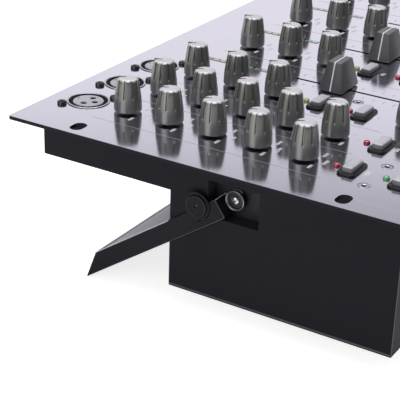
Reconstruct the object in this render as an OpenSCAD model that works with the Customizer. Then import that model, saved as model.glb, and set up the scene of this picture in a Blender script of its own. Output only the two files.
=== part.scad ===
// Nineteen-inch, five-unit rack mixing desk with a fold-up support bracket under its rear.
// X runs to the right, Y to the rear and Z up. The origin is under the centre of the top
// panel, at the level of the feet's undersides. Depths are counted from the rear edge.

/* [Top panel] */
// Width of the top panel across both rack rails
panel_w = 482.6; // [478:0.1:490]
// Depth of the top panel from its rear edge to its front edge
panel_d = 221.5; // [220:0.5:232]
// Thickness of the top panel
panel_t = 2; // [1.5:0.1:3]
// Corner radius of the top panel
panel_corner_r = 1.5; // [0.5:0.1:3]
// Spacing of the rack slots across the width
rack_x = 465.1; // [463:0.1:468]
// Spacing of the rack slots from rear to front
rack_y = 146.05; // [140:0.05:150]
// Length of each rack slot
rack_slot_l = 10; // [8:0.1:11]
// Width of each rack slot
rack_slot_w = 7; // [6:0.1:8]

/* [Chassis] */
// Width of the chassis over its side walls
chassis_w = 447.6; // [444:0.2:450]
// Height from the underside of the base plate to the underside of the top panel
body_h = 76.3; // [70:0.5:90]
// Height of the shallow rear section below the top panel
shallow_h = 22.9; // [22.5:0.1:28]
// Thickness of the chassis sheet
sheet_t = 1.2; // [1:0.1:1.6]
// Overhang of the top panel behind the chassis
rear_gap = 8.8; // [8:0.1:10]
// Overhang of the top panel in front of the chassis
front_gap = 11; // [8:0.5:12]
// Depth at which the deep section starts
deep_d = 87; // [82:0.5:90]
// Width of the fixing flanges along the side walls
flange_w = 13; // [12.5:0.1:14]
// Width of the fixing flange along the front wall
front_flange_w = 6; // [4:0.5:7]
// Width of the flange that the base plate is screwed to
base_flange_w = 12; // [10:0.5:16]
// Thickness of the base plate
base_t = 1.2; // [1:0.1:2]
// Width of the recess in each side wall for the bracket's pivot
pocket_w = 28.3; // [26:0.1:34]
// Height of the recess in each side wall
pocket_h = 19; // [18:0.1:24]
// Depth of the recess in each side wall
pocket_depth = 8.5; // [8:0.1:10]

/* [Control layout] */
// Distance from the chassis side to the outer column of small controls
outer_col_in = 22.5; // [22:0.1:25]
// Spacing of the two outer columns
outer_col_pitch = 33.5; // [30:0.1:34]
// Distance from the second column to the first channel's column
channel_in = 33.7; // [30:0.1:36]
// Spacing of the channels
channel_pitch = 62.2; // [60:0.1:64]
// Distance from a channel's column to its fader
fader_offset = 28.4; // [27:0.1:30]
// Depth of the first row of knobs
row_d = 46; // [45:0.1:47]
// Distance from the panel's front edge to the front row
front_row_in = 23.1; // [22:0.1:26]
// Distance from the panel's front edge to the crossfader's slot
crossfader_in = 31.5; // [30:0.5:34]

/* [Knobs] */
// Diameter of a knob at its foot
knob_d = 14.4; // [13:0.1:16]
// Diameter of a knob at its top
knob_top_d = 10.7; // [9.5:0.1:12]
// Height of a knob
knob_h = 17.7; // [14:0.1:20]
// Gap between a knob and the top panel
knob_gap = 1; // [0.8:0.1:2]
// Number of grip flutes around a knob
flute_count = 10; // [8:1:12]
// Radius of a grip flute
flute_r = 0.9; // [0.7:0.05:1.2]
// Turn of the knobs' pointers from the rear, as they are set
knob_turn = 18; // [-30:1:30]
// Diameter of a potentiometer's shaft
shaft_d = 5; // [4:0.1:6]
// Outside diameter of a potentiometer's bushing
bushing_d = 7; // [6.8:0.1:8]
// Side length of a potentiometer's case
pot_w = 11; // [9.5:0.1:12]

/* [Buttons] */
// Width of a button's bezel
bezel_w = 18; // [16.5:0.1:20]
// Depth of a button's bezel
bezel_d = 9.3; // [9:0.1:11]
// Height of a button's bezel above the top panel
bezel_h = 1.2; // [1:0.1:2.2]
// Width of a button's cap
cap_w = 13; // [12:0.1:14.2]
// Depth of a button's cap
cap_d = 5.6; // [5:0.1:6.4]
// Height of a button's cap above the top panel
cap_h = 3.8; // [3.2:0.1:5]
// Travel of a button
button_travel = 1.5; // [1:0.1:1.8]
// Distance from a button's centre to its lamp, towards the rear
lamp_offset = 8; // [7.5:0.1:9]
// Diameter of a button's lamp
lamp_d = 3.4; // [2:0.1:3.6]

/* [Faders] */
// Travel of a channel fader
fader_travel = 60; // [50:1:62]
// Travel of the crossfader
crossfader_travel = 45; // [40:1:50]
// Depth of the middle of a channel fader's slot
fader_mid_d = 125; // [123:0.5:127]
// Distance from the slot's middle to the caps as they are set, towards the rear
fader_set = 6; // [0:0.5:12]
// Width of a fader's slot in the top panel
fader_slot_w = 2; // [1.9:0.1:2.6]
// Length of a fader cap across its travel
fader_cap_l = 21; // [18:0.1:23]
// Width of a fader cap along its travel
fader_cap_w = 14; // [12:0.1:16]
// Height of a fader cap
fader_cap_h = 16; // [12:0.1:20]
// Length of a fader cap's top
fader_top_l = 13; // [10:0.1:16]
// Width of a fader cap's top
fader_top_w = 8; // [6:0.1:10]
// Length of a level meter's window
meter_l = 45; // [36:0.5:46]
// Width of a level meter's window
meter_w = 3.7; // [3:0.1:5]
// Depth at which the level meters end
meter_end_d = 75.3; // [74:0.1:77]
// Length of the main level meter's windows
main_meter_l = 90; // [70:1:95]

/* [Sockets] */
// Diameter of a microphone socket's bore
xlr_bore_d = 20; // [19.6:0.1:20.4]
// Wall thickness of a microphone socket's shell
xlr_wall = 0.7; // [0.5:0.05:0.9]
// Diameter of a microphone socket's rim
xlr_rim_d = 22.7; // [22:0.1:23]
// Height of a microphone socket's rim
xlr_rim_h = 0.9; // [0.5:0.1:1.5]
// Diameter of a microphone socket's contact insert
xlr_insert_d = 15.6; // [14:0.1:16]
// Distance from a socket's centre to its screws across the width
xlr_screw_x = 10.8; // [10.6:0.1:11.2]
// Distance from a socket's centre to its screws in depth
xlr_screw_y = 9; // [8.5:0.1:9.1]
// Diameter of the phones socket's bore
phones_bore_d = 6.5; // [6.4:0.05:6.8]
// Diameter of a phono socket's sleeve
phono_d = 8.3; // [8:0.1:8.6]
// Length of a phono socket's sleeve behind the chassis
phono_l = 8; // [6:0.1:8.5]
// Space left at both ends of the row of phono sockets
phono_margin = 4.3; // [2:0.1:12]
// Width of the mains inlet's flange
mains_w = 60; // [58:0.5:62]
// Width of the mains inlet's cavity
mains_cavity_w = 24.2; // [23:0.1:25]
// Height of the mains inlet's cavity
mains_cavity_h = 16.6; // [15:0.1:17.4]
// Depth of the mains inlet's cavity
mains_cavity_l = 17; // [15:0.1:20]
// Tilt of the power rocker to each side
rocker_tilt = 8; // [5:0.5:9]

/* [Support bracket] */
// Depth of the bracket's pivot
pivot_d = 121; // [120:0.5:124]
// Distance of the bracket's pivot below the underside of the top panel
pivot_drop = 21.4; // [20:0.1:23]
// Slope of the bracket's arms below the horizontal
arm_slope = 35; // [32:0.5:38]
// Width of the bracket's arms
arm_w = 10.1; // [9:0.1:11]
// Thickness of the bracket's sheet
bracket_t = 1.5; // [1:0.1:1.6]
// Lean of the bracket's rear edge from the vertical
tip_lean = 20; // [10:1:30]
// Radius of the tab around the pivot
tab_r = 7.2; // [6.8:0.1:8]
// Distance of the tab inside the chassis wall
tab_in = 6; // [5.6:0.1:6.4]
// Fold of the bracket from its lowest position
bracket_fold = 15; // [8:1:16]
// Distance from the pivot to the lock screw along the arm
lock_e = 17; // [16.8:0.1:18]
// Distance of the lock screw from the middle line of the arm
lock_f = 6; // [5.5:0.1:6.5]

/* [Feet and screws] */
// Height of the rubber feet
foot_h = 10.5; // [8:0.5:14]
// Diameter of the rubber feet at the base plate
foot_d = 20; // [16:0.5:24]
// Distance of the feet from the chassis sides
foot_in = 35; // [30:1:60]
// Diameter of the pivot screws' heads
pivot_head_d = 10.4; // [9:0.1:10.8]
// Diameter of the pivot screws' shoulders
pivot_shoulder_d = 6; // [5:0.1:7]
// Diameter of the lock screws' heads
lock_head_d = 11.5; // [10:0.1:12]
// Diameter of the lock screws
lock_shank_d = 5; // [4:0.1:5.5]
// Thickness of the pivot screws' heads
bracket_head_t = 2.8; // [2:0.1:2.8]
// Thickness of the lock screws' heads
lock_head_t = 1.4; // [1.2:0.1:2.8]
// Diameter of the small screws
screw_d = 3; // [2.5:0.1:3.2]
// Head diameter of the countersunk screws
csk_head_d = 6; // [5.5:0.1:6.4]
// Head diameter of the raised screws
pan_head_d = 5; // [4.5:0.1:5]

/* [Fits] */
// Radial running clearance of a shaft in its bore
run_fit = 0.05; // [0.02:0.01:0.1]
// Gap between pieces that move past each other
slide_gap = 0.3; // [0.25:0.05:0.35]
// Radial clearance of a screw or a fixed piece in its hole
hole_fit = 0.1; // [0.05:0.05:0.2]

/* [Hidden] */
$fn = 48;
channel_count = 4;
mic_rows = 5;
channel_rows = 3;
floor_gap = 0.1;
z_under = foot_h + body_h;
z_top = z_under + panel_t;
z_base = foot_h + base_t;
z_shallow = z_under - shallow_h;
board_drop = 8.5;
z_board = z_top - board_drop;
board_t = 1.6;
y_rear = panel_d / 2 - rear_gap;
y_front = front_gap - panel_d / 2;
y_step = panel_d / 2 - deep_d;
half_w = chassis_w / 2;
last_row = 6;
row_pitch = (panel_d - row_d - front_row_in) / last_row;
outer_col_x = half_w - outer_col_in;
crossfader_d = panel_d - crossfader_in;
low_row_d = row(last_row - 1);
front_row_d = row(last_row);
inner_w = chassis_w - 2 * sheet_t;

bushing_top = 0.6;
bore_floor = 1.2;
shaft_seat = 5;
knob_straight = 0.4;
flute_start = 6.5;
flute_depth = 0.6;
flute_top_z = knob_h - 0.7;
pointer_w = 1;

stem_w = 3;
switch_w = 11;
switch_d = 7;
cap_skirt = 2.4;
spigot_wall = 0.6;
bezel_r = 3;
spigot_r = 1.2;
spigot_l = panel_t + 1;
cap_taper = 1.2;
switch_top = cap_skirt + button_travel + slide_gap;

lever_w = fader_slot_w - 2 * (slide_gap + hole_fit);
lever_l = 3;
fader_lift = 0.5;
fader_slot_end = 0.5;
fader_body_w = 10;
fader_end = 3;
fader_floor = 0.8;
fader_channel_w = 4;
line_w = 1;
line_depth = 0.3;

xlr_r = xlr_bore_d / 2 + xlr_wall;
xlr_d = rear_gap + sheet_t + xlr_r + slide_gap;
xlr_bottom = z_shallow + sheet_t + 1.5;
xlr_floor = 1.5;
xlr_face = 1;
xlr_pin_r = 1.4;
xlr_pin_angles = [0, 180, 270];
xlr_pin_ring = 4.2;
ear_w = 3.2;
ear_t = 1.5;
phones_body_d = 11.5;
phones_l = 26;
phones_bush_d = 9;
phones_rim_d = 14;
phones_rim_h = 2;
phono_count = 20;
phono_body = 9.6;
phono_body_h = 12;
phono_body_l = 10;
phono_pin_r = 1.65;
phono_first = channel(0) + xlr_r + phono_margin + phono_body / 2;
rear_mid_z = (z_under + z_shallow) / 2;
mains_h = shallow_h - 0.9;
mains_gap = 3;
mains_x = half_w - sheet_t - mains_gap - mains_w / 2;
mains_flange_t = 2.5;
mains_wall = 1.4;
inlet_dx = 9.5;
rocker_dx = 15;
inlet_x = mains_x + inlet_dx;
rocker_x = mains_x - rocker_dx;
phono_last = mains_x - mains_w / 2 - 3 * phono_margin - phono_body / 2;
phono_pitch = (phono_last - phono_first) / (phono_count - 1);
rocker_w = 10;
rocker_r = 7.5;
rocker_well_h = 2 * (rocker_r + slide_gap);
rocker_well_l = 10;
rocker_axle_r = 1.2;
rocker_axle_y = y_rear + mains_flange_t - 3;
mains_body_l = mains_cavity_l + 2;
mains_screw_x = mains_w / 2 - 3.2;
blade_t = 2;
blade_h = 4;
blade_recess = 6.5;

pivot_y = panel_d / 2 - pivot_d;
pivot_z = z_under - pivot_drop;
arm_h = arm_w / 2;
arm_x = half_w + slide_gap;
joggle_clear = 0.2;
joggle_e = pivot_head_d / 2 + joggle_clear + bracket_t;
tip_e = (pivot_z - floor_gap - arm_h * cos(arm_slope)) / sin(arm_slope);
tip_back = arm_w * tan(arm_slope + tip_lean);
plate_clear = 0.8;
plate_e = (pivot_d - deep_d + plate_clear - (arm_h - bracket_t) * sin(arm_slope))
    / cos(arm_slope);
lock_r = norm([lock_e, lock_f]);
lock_a = atan2(lock_f, lock_e);
lock_y = pivot_y + lock_e * cos(arm_slope) + lock_f * sin(arm_slope);
lock_z = pivot_z - lock_e * sin(arm_slope) + lock_f * cos(arm_slope);
notch_pad = lock_shank_d / 2 + slide_gap;
notch_low_e = lock_r * cos(lock_a - bracket_fold);
notch_low_f = lock_r * sin(lock_a - bracket_fold);
pocket_shift = 1.85;
thread_r = 2;
nut_r = 3.7;
nut_t = 2.6;
slotted_w = 1.2;
slotted_depth = 0.9;

spacer_r = 3;
csk_depth = 1.7;
csk_flange_in = 9.7;
csk_flange_x = half_w - csk_flange_in;
csk_spacer_dx = 13.1;
csk_spacer_x = outer_col_x - csk_spacer_dx;
csk_row_in = 36.5;
csk_row_d = panel_d - csk_row_in;
csk_channel_dx = 14.9;
csk_channel_d = 137.4;
pan_head_h = 1.6;
foot_recess_r = 4.6;
foot_recess_h = 6;
foot_screw_r = 2;
foot_head_r = 3.8;
foot_head_h = 2.4;
foot_y = 18;
base_screw_in = 6;

board_rear_gap = 26;
board_side_gap = 4;
board_front_gap = 6;
board_rear_d = rear_gap + sheet_t + board_rear_gap;
board_w = chassis_w - 2 * (pocket_depth + sheet_t + board_side_gap);
board_front_y = y_front + sheet_t + board_front_gap;
power_w = 150;
power_d = 80;
power_x = 90;
standoff_h = 6;
standoff_r = 3;
core_w = 62;
core_d = 52;
core_h = 40;

function col(i) = -outer_col_x + i * outer_col_pitch;
function channel(n) = col(1) + channel_in + n * channel_pitch;
function fader_x(n) = channel(n) + fader_offset;
function row(r) = row_d + r * row_pitch;

mic_knobs = [for (i = [0:1], r = [0:mic_rows - 1])
    [str("mic_knob_", i + 1, "_", r + 1), col(i), row(r)]];
channel_knobs = [for (n = [0:channel_count - 1], r = [0:channel_rows - 1])
    [str("channel_", n + 1, "_knob_", r + 1), channel(n), row(r)]];
other_knobs = [
    ["phones_knob", channel(0), low_row_d],
    ["master_knob", -col(1), row(mic_rows - 1)],
    ["booth_knob", -col(0), row(mic_rows - 1)]];
knobs = concat(mic_knobs, channel_knobs, other_knobs);

mic_buttons = [
    ["mic_button_1", col(0), low_row_d],
    ["mic_button_2", col(1), low_row_d],
    ["mic_button_3", col(0), front_row_d]];
channel_buttons = [for (n = [0:channel_count - 1], r = [0:1])
    [str("channel_", n + 1, "_button_", r + 1), channel(n), row(channel_rows + r)]];
buttons = concat(mic_buttons, channel_buttons);

faders = [for (n = [0:channel_count - 1]) [str("channel_", n + 1, "_fader"), fader_x(n)]];
crossfader_x = (channel(0) + fader_x(channel_count - 1)) / 2;
meters = concat(
    [for (n = [0:channel_count - 1]) [fader_x(n), meter_end_d - meter_l, meter_l]],
    [for (s = [-1, 1]) [outer_col_x - outer_col_pitch / 2 + s * meter_w * 1.3,
        meter_end_d - meter_l, main_meter_l]]);
xlrs = [col(0), col(1), channel(0)];
csk_flange = [for (s = [-1, 1]) [s * csk_flange_x, csk_row_d]];
csk_spacer = concat([for (s = [-1, 1]) [s * csk_spacer_x, csk_row_d]],
    [for (n = [0:channel_count - 1]) [channel(n) + csk_channel_dx, csk_channel_d]]);
phonos = [for (k = [0:phono_count - 1]) phono_first + k * phono_pitch];
foot_ys = [y_front + foot_y, y_step - foot_y];
base_screws = [for (s = [-1, 1], y = [y_front + base_screw_in, (y_front + y_step) / 2,
    y_step - base_screw_in]) [s * (half_w - base_screw_in), y]];

FIXED = ["top_panel", "chassis_shell", "base_plate", "xlr_shells", "xlr_inserts",
    "signal_sockets", "mains_inlet", "circuit_boards", "rotary_pots", "fader_units",
    "button_switches", "button_bezels", "indicator_lamps", "meter_windows",
    "rubber_feet", "machine_screws", "bracket_screws"];

// Corner points of a rectangle with rounded corners
function round_rect(w, d, r, n = 5) = [for (c = [0:3], k = [0:n])
    let (a = 90 * (c + k / n), sx = c == 0 || c == 3 ? 1 : -1, sy = c < 2 ? 1 : -1)
    [sx * (w / 2 - r) + r * cos(a), sy * (d / 2 - r) + r * sin(a)]];

// Puts its children on the top panel, at a distance from the centreline and a depth
module on_panel(x, d) translate([x, panel_d / 2 - d, z_top]) children();

// Block centred in X and Y that stands on z1 and ends at z2
module block(w, d, z1, z2) translate([-w / 2, -d / 2, z1]) cube([w, d, z2 - z1]);

// Extrudes a Y-Z outline along X, centred
module along_x(w) rotate([90, 0, 90]) linear_extrude(w, center = true) children();

// Rod along X from x1 to x2
module rod_x(r, x1, x2) translate([x1, 0, 0]) rotate([0, 90, 0]) cylinder(r = r, h = x2 - x1);

// Block whose four sides lean in towards its top
module tapered_block(w, d, top_w, top_d, h) {
    intersection() {
        rotate([90, 0, 0])
            linear_extrude(d, center = true)
                polygon([[-w / 2, 0], [w / 2, 0], [top_w / 2, h], [-top_w / 2, h]]);
        along_x(w)
            polygon([[-d / 2, 0], [d / 2, 0], [top_d / 2, h], [-top_d / 2, h]]);
    }
}

module rack_slot() {
    half = (rack_slot_l - rack_slot_w) / 2;
    translate([0, 0, z_under - 1]) {
        for (s = [-1, 1]) translate([s * half, 0, 0]) cylinder(d = rack_slot_w, h = panel_t + 2);
        translate([-half, -rack_slot_w / 2, 0]) cube([2 * half, rack_slot_w, panel_t + 2]);
    }
}

module csk_shape(pad) {
    translate([0, 0, -csk_depth])
        cylinder(r1 = screw_d / 2 + pad, r2 = csk_head_d / 2 + pad, h = csk_depth);
}

module top_panel() {
    color([0.36, 0.35, 0.38]) difference() {
        translate([0, 0, z_under])
            linear_extrude(panel_t) polygon(round_rect(panel_w, panel_d, panel_corner_r));
        for (x = [-1, 1], y = [-1, 1]) translate([x * rack_x / 2, y * rack_y / 2, 0]) rack_slot();
        for (k = knobs) on_panel(k[1], k[2])
            translate([0, 0, -panel_t - 1]) cylinder(d = bushing_d + 2 * hole_fit, h = panel_t + 2);
        for (b = buttons) on_panel(b[1], b[2]) {
            block(spigot_w(hole_fit), spigot_d(hole_fit), -panel_t - 1, 1);
            translate([0, lamp_offset, -panel_t - 1])
                cylinder(d = lamp_d + 2 * hole_fit, h = panel_t + 2);
        }
        for (f = faders) on_panel(f[1], fader_mid_d)
            block(fader_slot_w, slot_length(fader_travel), -panel_t - 1, 1);
        on_panel(crossfader_x, crossfader_d)
            block(slot_length(crossfader_travel), fader_slot_w, -panel_t - 1, 1);
        for (m = meters) on_panel(m[0], m[1] + m[2] / 2)
            block(meter_w + 2 * hole_fit, m[2] + 2 * hole_fit, -panel_t - 1, 1);
        for (x = xlrs) on_panel(x, xlr_d) {
            translate([0, 0, -panel_t - 1]) cylinder(r = xlr_r + hole_fit, h = panel_t + 2);
            for (s = [-1, 1]) translate([-s * xlr_screw_x, s * xlr_screw_y, -panel_t - 1])
                cylinder(d = screw_d + 2 * hole_fit, h = panel_t + 2);
        }
        on_panel(col(1), front_row_d)
            translate([0, 0, -panel_t - 1])
                cylinder(d = phones_bush_d + 2 * hole_fit, h = panel_t + 2);
        for (p = concat(csk_flange, csk_spacer)) on_panel(p[0], p[1]) {
            csk_shape(hole_fit);
            translate([0, 0, -panel_t - 1]) cylinder(d = screw_d + 2 * hole_fit, h = panel_t + 2);
        }
    }
}

function spigot_w(pad) = cap_w + 2 * (slide_gap + spigot_wall + pad);
function spigot_d(pad) = cap_d + 2 * (slide_gap + spigot_wall + pad);
function slot_length(travel) = travel + lever_l + 2 * fader_slot_end;

// Side walls, front wall, stepped rear and flanges, before the holes are cut
module chassis_sheet() {
    difference() {
        along_x(chassis_w) polygon([
            [y_rear, z_under], [y_rear, z_shallow], [y_step, z_shallow],
            [y_step, z_base], [y_front, z_base], [y_front, z_under]]);
        along_x(inner_w) polygon([
            [y_rear - sheet_t, z_under + 1], [y_rear - sheet_t, z_shallow + sheet_t],
            [y_step - sheet_t, z_shallow + sheet_t], [y_step - sheet_t, z_base - 1],
            [y_front + sheet_t, z_base - 1], [y_front + sheet_t, z_under + 1]]);
    }
    for (s = [-1, 1])
        translate([s * (inner_w / 2 - (flange_w - sheet_t) / 2), 0, 0])
            translate([0, (panel_d / 2 - board_rear_d + y_front) / 2, 0])
                block(flange_w - sheet_t, panel_d / 2 - board_rear_d - y_front,
                    z_under - sheet_t, z_under);
    translate([0, y_front + front_flange_w / 2, 0])
        block(inner_w, front_flange_w, z_under - sheet_t, z_under);
    difference() {
        translate([0, (y_front + y_step) / 2, 0])
            block(inner_w, y_step - y_front - 2 * sheet_t, z_base, z_base + sheet_t);
        translate([0, (y_front + y_step) / 2, 0])
            block(chassis_w - 2 * base_flange_w, y_step - y_front - 2 * base_flange_w,
                z_base - 1, z_base + sheet_t + 1);
    }
    for (s = [-1, 1])
        translate([s * (half_w - (pocket_depth + sheet_t) / 2), pivot_y - pocket_shift, 0])
            block(pocket_depth + sheet_t, pocket_w + 2 * sheet_t,
                pivot_z - pocket_h / 2 - sheet_t, pivot_z + pocket_h / 2 + sheet_t);
}

module chassis_shell() {
    color([0.17, 0.17, 0.19]) difference() {
        chassis_sheet();
        for (s = [-1, 1]) {
            translate([s * half_w, pivot_y - pocket_shift, 0])
                block(2 * pocket_depth, pocket_w, pivot_z - pocket_h / 2, pivot_z + pocket_h / 2);
            translate([s * (half_w - pocket_depth), pivot_y, pivot_z])
                rod_x(thread_r + hole_fit, -2 * sheet_t, 2 * sheet_t);
            translate([s * half_w, lock_y, lock_z])
                rod_x(lock_shank_d / 2 + hole_fit, -2 * sheet_t, 2 * sheet_t);
        }
        for (p = csk_flange) on_panel(p[0], p[1])
            translate([0, 0, -panel_t - 2 * sheet_t])
                cylinder(d = screw_d + 2 * hole_fit, h = 3 * sheet_t);
        for (p = base_screws) translate([p[0], p[1], z_base - 1])
            cylinder(d = screw_d + 2 * hole_fit, h = sheet_t + 2);
        for (x = phonos) translate([x, y_rear + 1, rear_mid_z])
            rotate([90, 0, 0]) cylinder(d = phono_d + 2 * hole_fit, h = sheet_t + 2);
        translate([mains_x, y_rear, 0])
            block(mains_body_w() + 2 * hole_fit, 4 * sheet_t,
                rear_mid_z - mains_body_h() / 2 - hole_fit,
                rear_mid_z + mains_body_h() / 2 + hole_fit);
        for (s = [-1, 1]) translate([mains_x + s * mains_screw_x, y_rear + 1, rear_mid_z])
            rotate([90, 0, 0]) cylinder(d = screw_d + 2 * hole_fit, h = sheet_t + 2);
    }
}

function mains_body_w() = mains_w - 14;
function mains_body_h() = mains_cavity_h + 2 * mains_wall;

module base_plate() {
    color([0.17, 0.17, 0.19]) difference() {
        translate([0, (y_front + y_step) / 2, 0])
            block(chassis_w, y_step - y_front, foot_h, z_base);
        for (p = base_screws) translate([p[0], p[1], foot_h - 1])
            cylinder(d = screw_d + 2 * hole_fit, h = base_t + 2);
        for (s = [-1, 1], y = foot_ys) translate([s * (half_w - foot_in), y, foot_h - 1])
            cylinder(r = foot_screw_r + hole_fit, h = base_t + 2);
    }
}

// Rim, shell and the two ears under the top panel that its screws go into
module xlr_shell() {
    difference() {
        union() {
            cylinder(d = xlr_rim_d, h = xlr_rim_h);
            translate([0, 0, xlr_bottom - z_top]) cylinder(r = xlr_r, h = z_top - xlr_bottom);
            rotate([0, 0, atan2(-xlr_screw_y, xlr_screw_x)])
                block(2 * norm([xlr_screw_x, xlr_screw_y]), ear_w, -panel_t - ear_t, -panel_t);
        }
        translate([0, 0, xlr_bottom + xlr_floor - z_top])
            cylinder(d = xlr_bore_d, h = z_top - xlr_bottom);
        for (s = [-1, 1]) translate([-s * xlr_screw_x, s * xlr_screw_y, -panel_t - ear_t - 1])
            cylinder(d = screw_d + 2 * hole_fit, h = ear_t + 2);
    }
}

module xlr_shells() {
    color([0.72, 0.72, 0.74]) for (x = xlrs) on_panel(x, xlr_d) xlr_shell();
}

module xlr_insert() {
    seat = xlr_bottom + xlr_floor - z_top;
    difference() {
        translate([0, 0, seat]) cylinder(d = xlr_insert_d, h = -xlr_face - seat);
        for (a = xlr_pin_angles) rotate([0, 0, a]) translate([xlr_pin_ring, 0, seat + 2])
            cylinder(r = xlr_pin_r, h = -seat);
    }
}

module xlr_inserts() {
    color([0.62, 0.61, 0.6]) for (x = xlrs) on_panel(x, xlr_d) xlr_insert();
}

module phones_socket() {
    difference() {
        union() {
            cylinder(d = phones_rim_d, h = phones_rim_h, $fn = 6);
            translate([0, 0, -panel_t]) cylinder(d = phones_bush_d, h = panel_t + 1);
            translate([0, 0, -phones_l]) cylinder(d = phones_body_d, h = phones_l - panel_t);
        }
        translate([0, 0, -phones_l + bore_floor])
            cylinder(d = phones_bore_d, h = phones_l + phones_rim_h);
    }
}

module phono_socket() {
    rotate([90, 0, 0]) difference() {
        union() {
            translate([0, 0, -phono_l]) cylinder(d = phono_d, h = phono_l + sheet_t + 1);
            block(phono_body, phono_body_h, sheet_t, sheet_t + phono_body_l);
        }
        translate([0, 0, -phono_l - 1]) cylinder(r = phono_pin_r, h = phono_l + 3);
    }
}

module signal_sockets() {
    color([0.5, 0.5, 0.52]) {
        on_panel(col(1), front_row_d) phones_socket();
        for (x = phonos) translate([x, y_rear, rear_mid_z]) phono_socket();
    }
}

module mains_inlet() {
    color([0.1, 0.1, 0.1]) {
        difference() {
            union() {
                translate([mains_x, y_rear + mains_flange_t / 2, 0])
                    block(mains_w, mains_flange_t, rear_mid_z - mains_h / 2,
                        rear_mid_z + mains_h / 2);
                translate([mains_x, y_rear - mains_body_l / 2, 0])
                    block(mains_body_w(), mains_body_l, rear_mid_z - mains_body_h() / 2,
                        rear_mid_z + mains_body_h() / 2);
            }
            translate([inlet_x, y_rear + mains_flange_t - mains_cavity_l / 2, 0])
                block(mains_cavity_w, mains_cavity_l + 0.02, rear_mid_z - mains_cavity_h / 2,
                    rear_mid_z + mains_cavity_h / 2);
            translate([rocker_x, y_rear + mains_flange_t - rocker_well_l / 2, 0])
                block(rocker_w + 2 * slide_gap, rocker_well_l + 0.02,
                    rear_mid_z - rocker_well_h / 2, rear_mid_z + rocker_well_h / 2);
            translate([rocker_x, rocker_axle_y, rear_mid_z])
                rod_x(rocker_axle_r + run_fit, -rocker_w / 2 - 1.6, rocker_w / 2 + 1.6);
            for (s = [-1, 1]) translate([mains_x + s * mains_screw_x, y_rear + 5, rear_mid_z])
                rotate([90, 0, 0]) cylinder(d = screw_d + 2 * hole_fit, h = 10);
        }
        for (p = [[-7, -2], [0, 2], [7, -2]])
            translate([inlet_x + p[0], y_rear + mains_flange_t - mains_cavity_l,
                    rear_mid_z + p[1]])
                translate([-blade_t / 2, 0, -blade_h / 2])
                    cube([blade_t, mains_cavity_l - blade_recess, blade_h]);
    }
}

// Panel board under the controls, and a power board with its transformer on the base plate
module circuit_boards() {
    rear_y = panel_d / 2 - board_rear_d;
    power_y = (y_front + y_step) / 2;
    power_z = z_base + standoff_h;
    color([0.15, 0.36, 0.22]) {
        difference() {
            translate([0, (rear_y + board_front_y) / 2, 0])
                block(board_w, rear_y - board_front_y, z_board - board_t, z_board);
            on_panel(col(1), front_row_d) translate([0, 0, -phones_l])
                cylinder(d = phones_body_d + 1, h = phones_l);
            for (p = csk_spacer) on_panel(p[0], p[1]) translate([0, 0, -phones_l])
                cylinder(d = screw_d + 2 * hole_fit, h = phones_l);
        }
        for (p = csk_spacer) on_panel(p[0], p[1]) difference() {
            translate([0, 0, z_board - z_top]) cylinder(r = spacer_r, h = z_under - z_board);
            translate([0, 0, z_board - z_top - 1])
                cylinder(d = screw_d + 2 * hole_fit, h = z_under - z_board + 2);
        }
        translate([power_x, power_y, 0]) {
            block(power_w, power_d, power_z, power_z + board_t);
            block(core_w, core_d, power_z + board_t, power_z + board_t + core_h);
            for (x = [-1, 1], y = [-1, 1])
                translate([x * (power_w / 2 - 5), y * (power_d / 2 - 5), z_base])
                    cylinder(r = standoff_r, h = standoff_h);
        }
    }
}

module rotary_pot() {
    low = z_board - z_top;
    difference() {
        union() {
            block(pot_w, pot_w, low, -panel_t);
            translate([0, 0, -panel_t - 1]) cylinder(d = bushing_d, h = panel_t + 1 + bushing_top);
        }
        translate([0, 0, low + bore_floor])
            cylinder(r = shaft_d / 2 + run_fit, h = panel_t + bushing_top - low);
    }
}

module rotary_pots() {
    color([0.35, 0.36, 0.38]) for (k = knobs) on_panel(k[1], k[2]) rotary_pot();
}

// Case of a fader along Y, with the channel that the lever runs in
module fader_unit(travel) {
    low = z_board - z_top;
    length = slot_length(travel);
    difference() {
        block(fader_body_w, length + 2 * fader_end, low, -panel_t);
        block(fader_slot_w, length, -panel_t - 2, -panel_t + 1);
        block(fader_channel_w, length, low + fader_floor, -panel_t - 1);
    }
}

module fader_units() {
    color([0.6, 0.6, 0.62]) {
        for (f = faders) on_panel(f[1], fader_mid_d) fader_unit(fader_travel);
        on_panel(crossfader_x, crossfader_d) rotate([0, 0, 90]) fader_unit(crossfader_travel);
    }
}

module button_switches() {
    low = z_board - z_top;
    color([0.12, 0.12, 0.12]) for (b = buttons) on_panel(b[1], b[2]) difference() {
        block(switch_w, switch_d, low, -switch_top);
        block(stem_w + 2 * slide_gap, stem_w + 2 * slide_gap, low + 0.4, 0);
    }
}

module button_bezel() {
    difference() {
        union() {
            linear_extrude(bezel_h) polygon(round_rect(bezel_w, bezel_d, bezel_r));
            block(spigot_w(0), spigot_d(0), -spigot_l, 0);
        }
        block(cap_w + 2 * slide_gap, cap_d + 2 * slide_gap, -spigot_l - 1, bezel_h + 1);
    }
}

module button_bezels() {
    color([0.06, 0.06, 0.06]) for (b = buttons) on_panel(b[1], b[2]) button_bezel();
}

module indicator_lamps() {
    low = z_board - z_top;
    r = lamp_d / 2;
    color([0.8, 0.2, 0.15]) for (b = buttons) on_panel(b[1], b[2])
        translate([0, lamp_offset, 0]) rotate_extrude()
            polygon([[0, low], [r, low], [r, 0.5], [0.85 * r, 1.1], [0.5 * r, 1.5], [0, 1.65]]);
}

module meter_windows() {
    color([0.05, 0.05, 0.06]) for (m = meters) on_panel(m[0], m[1] + m[2] / 2)
        block(meter_w, m[2], z_board - z_top, 0.2);
}

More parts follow.
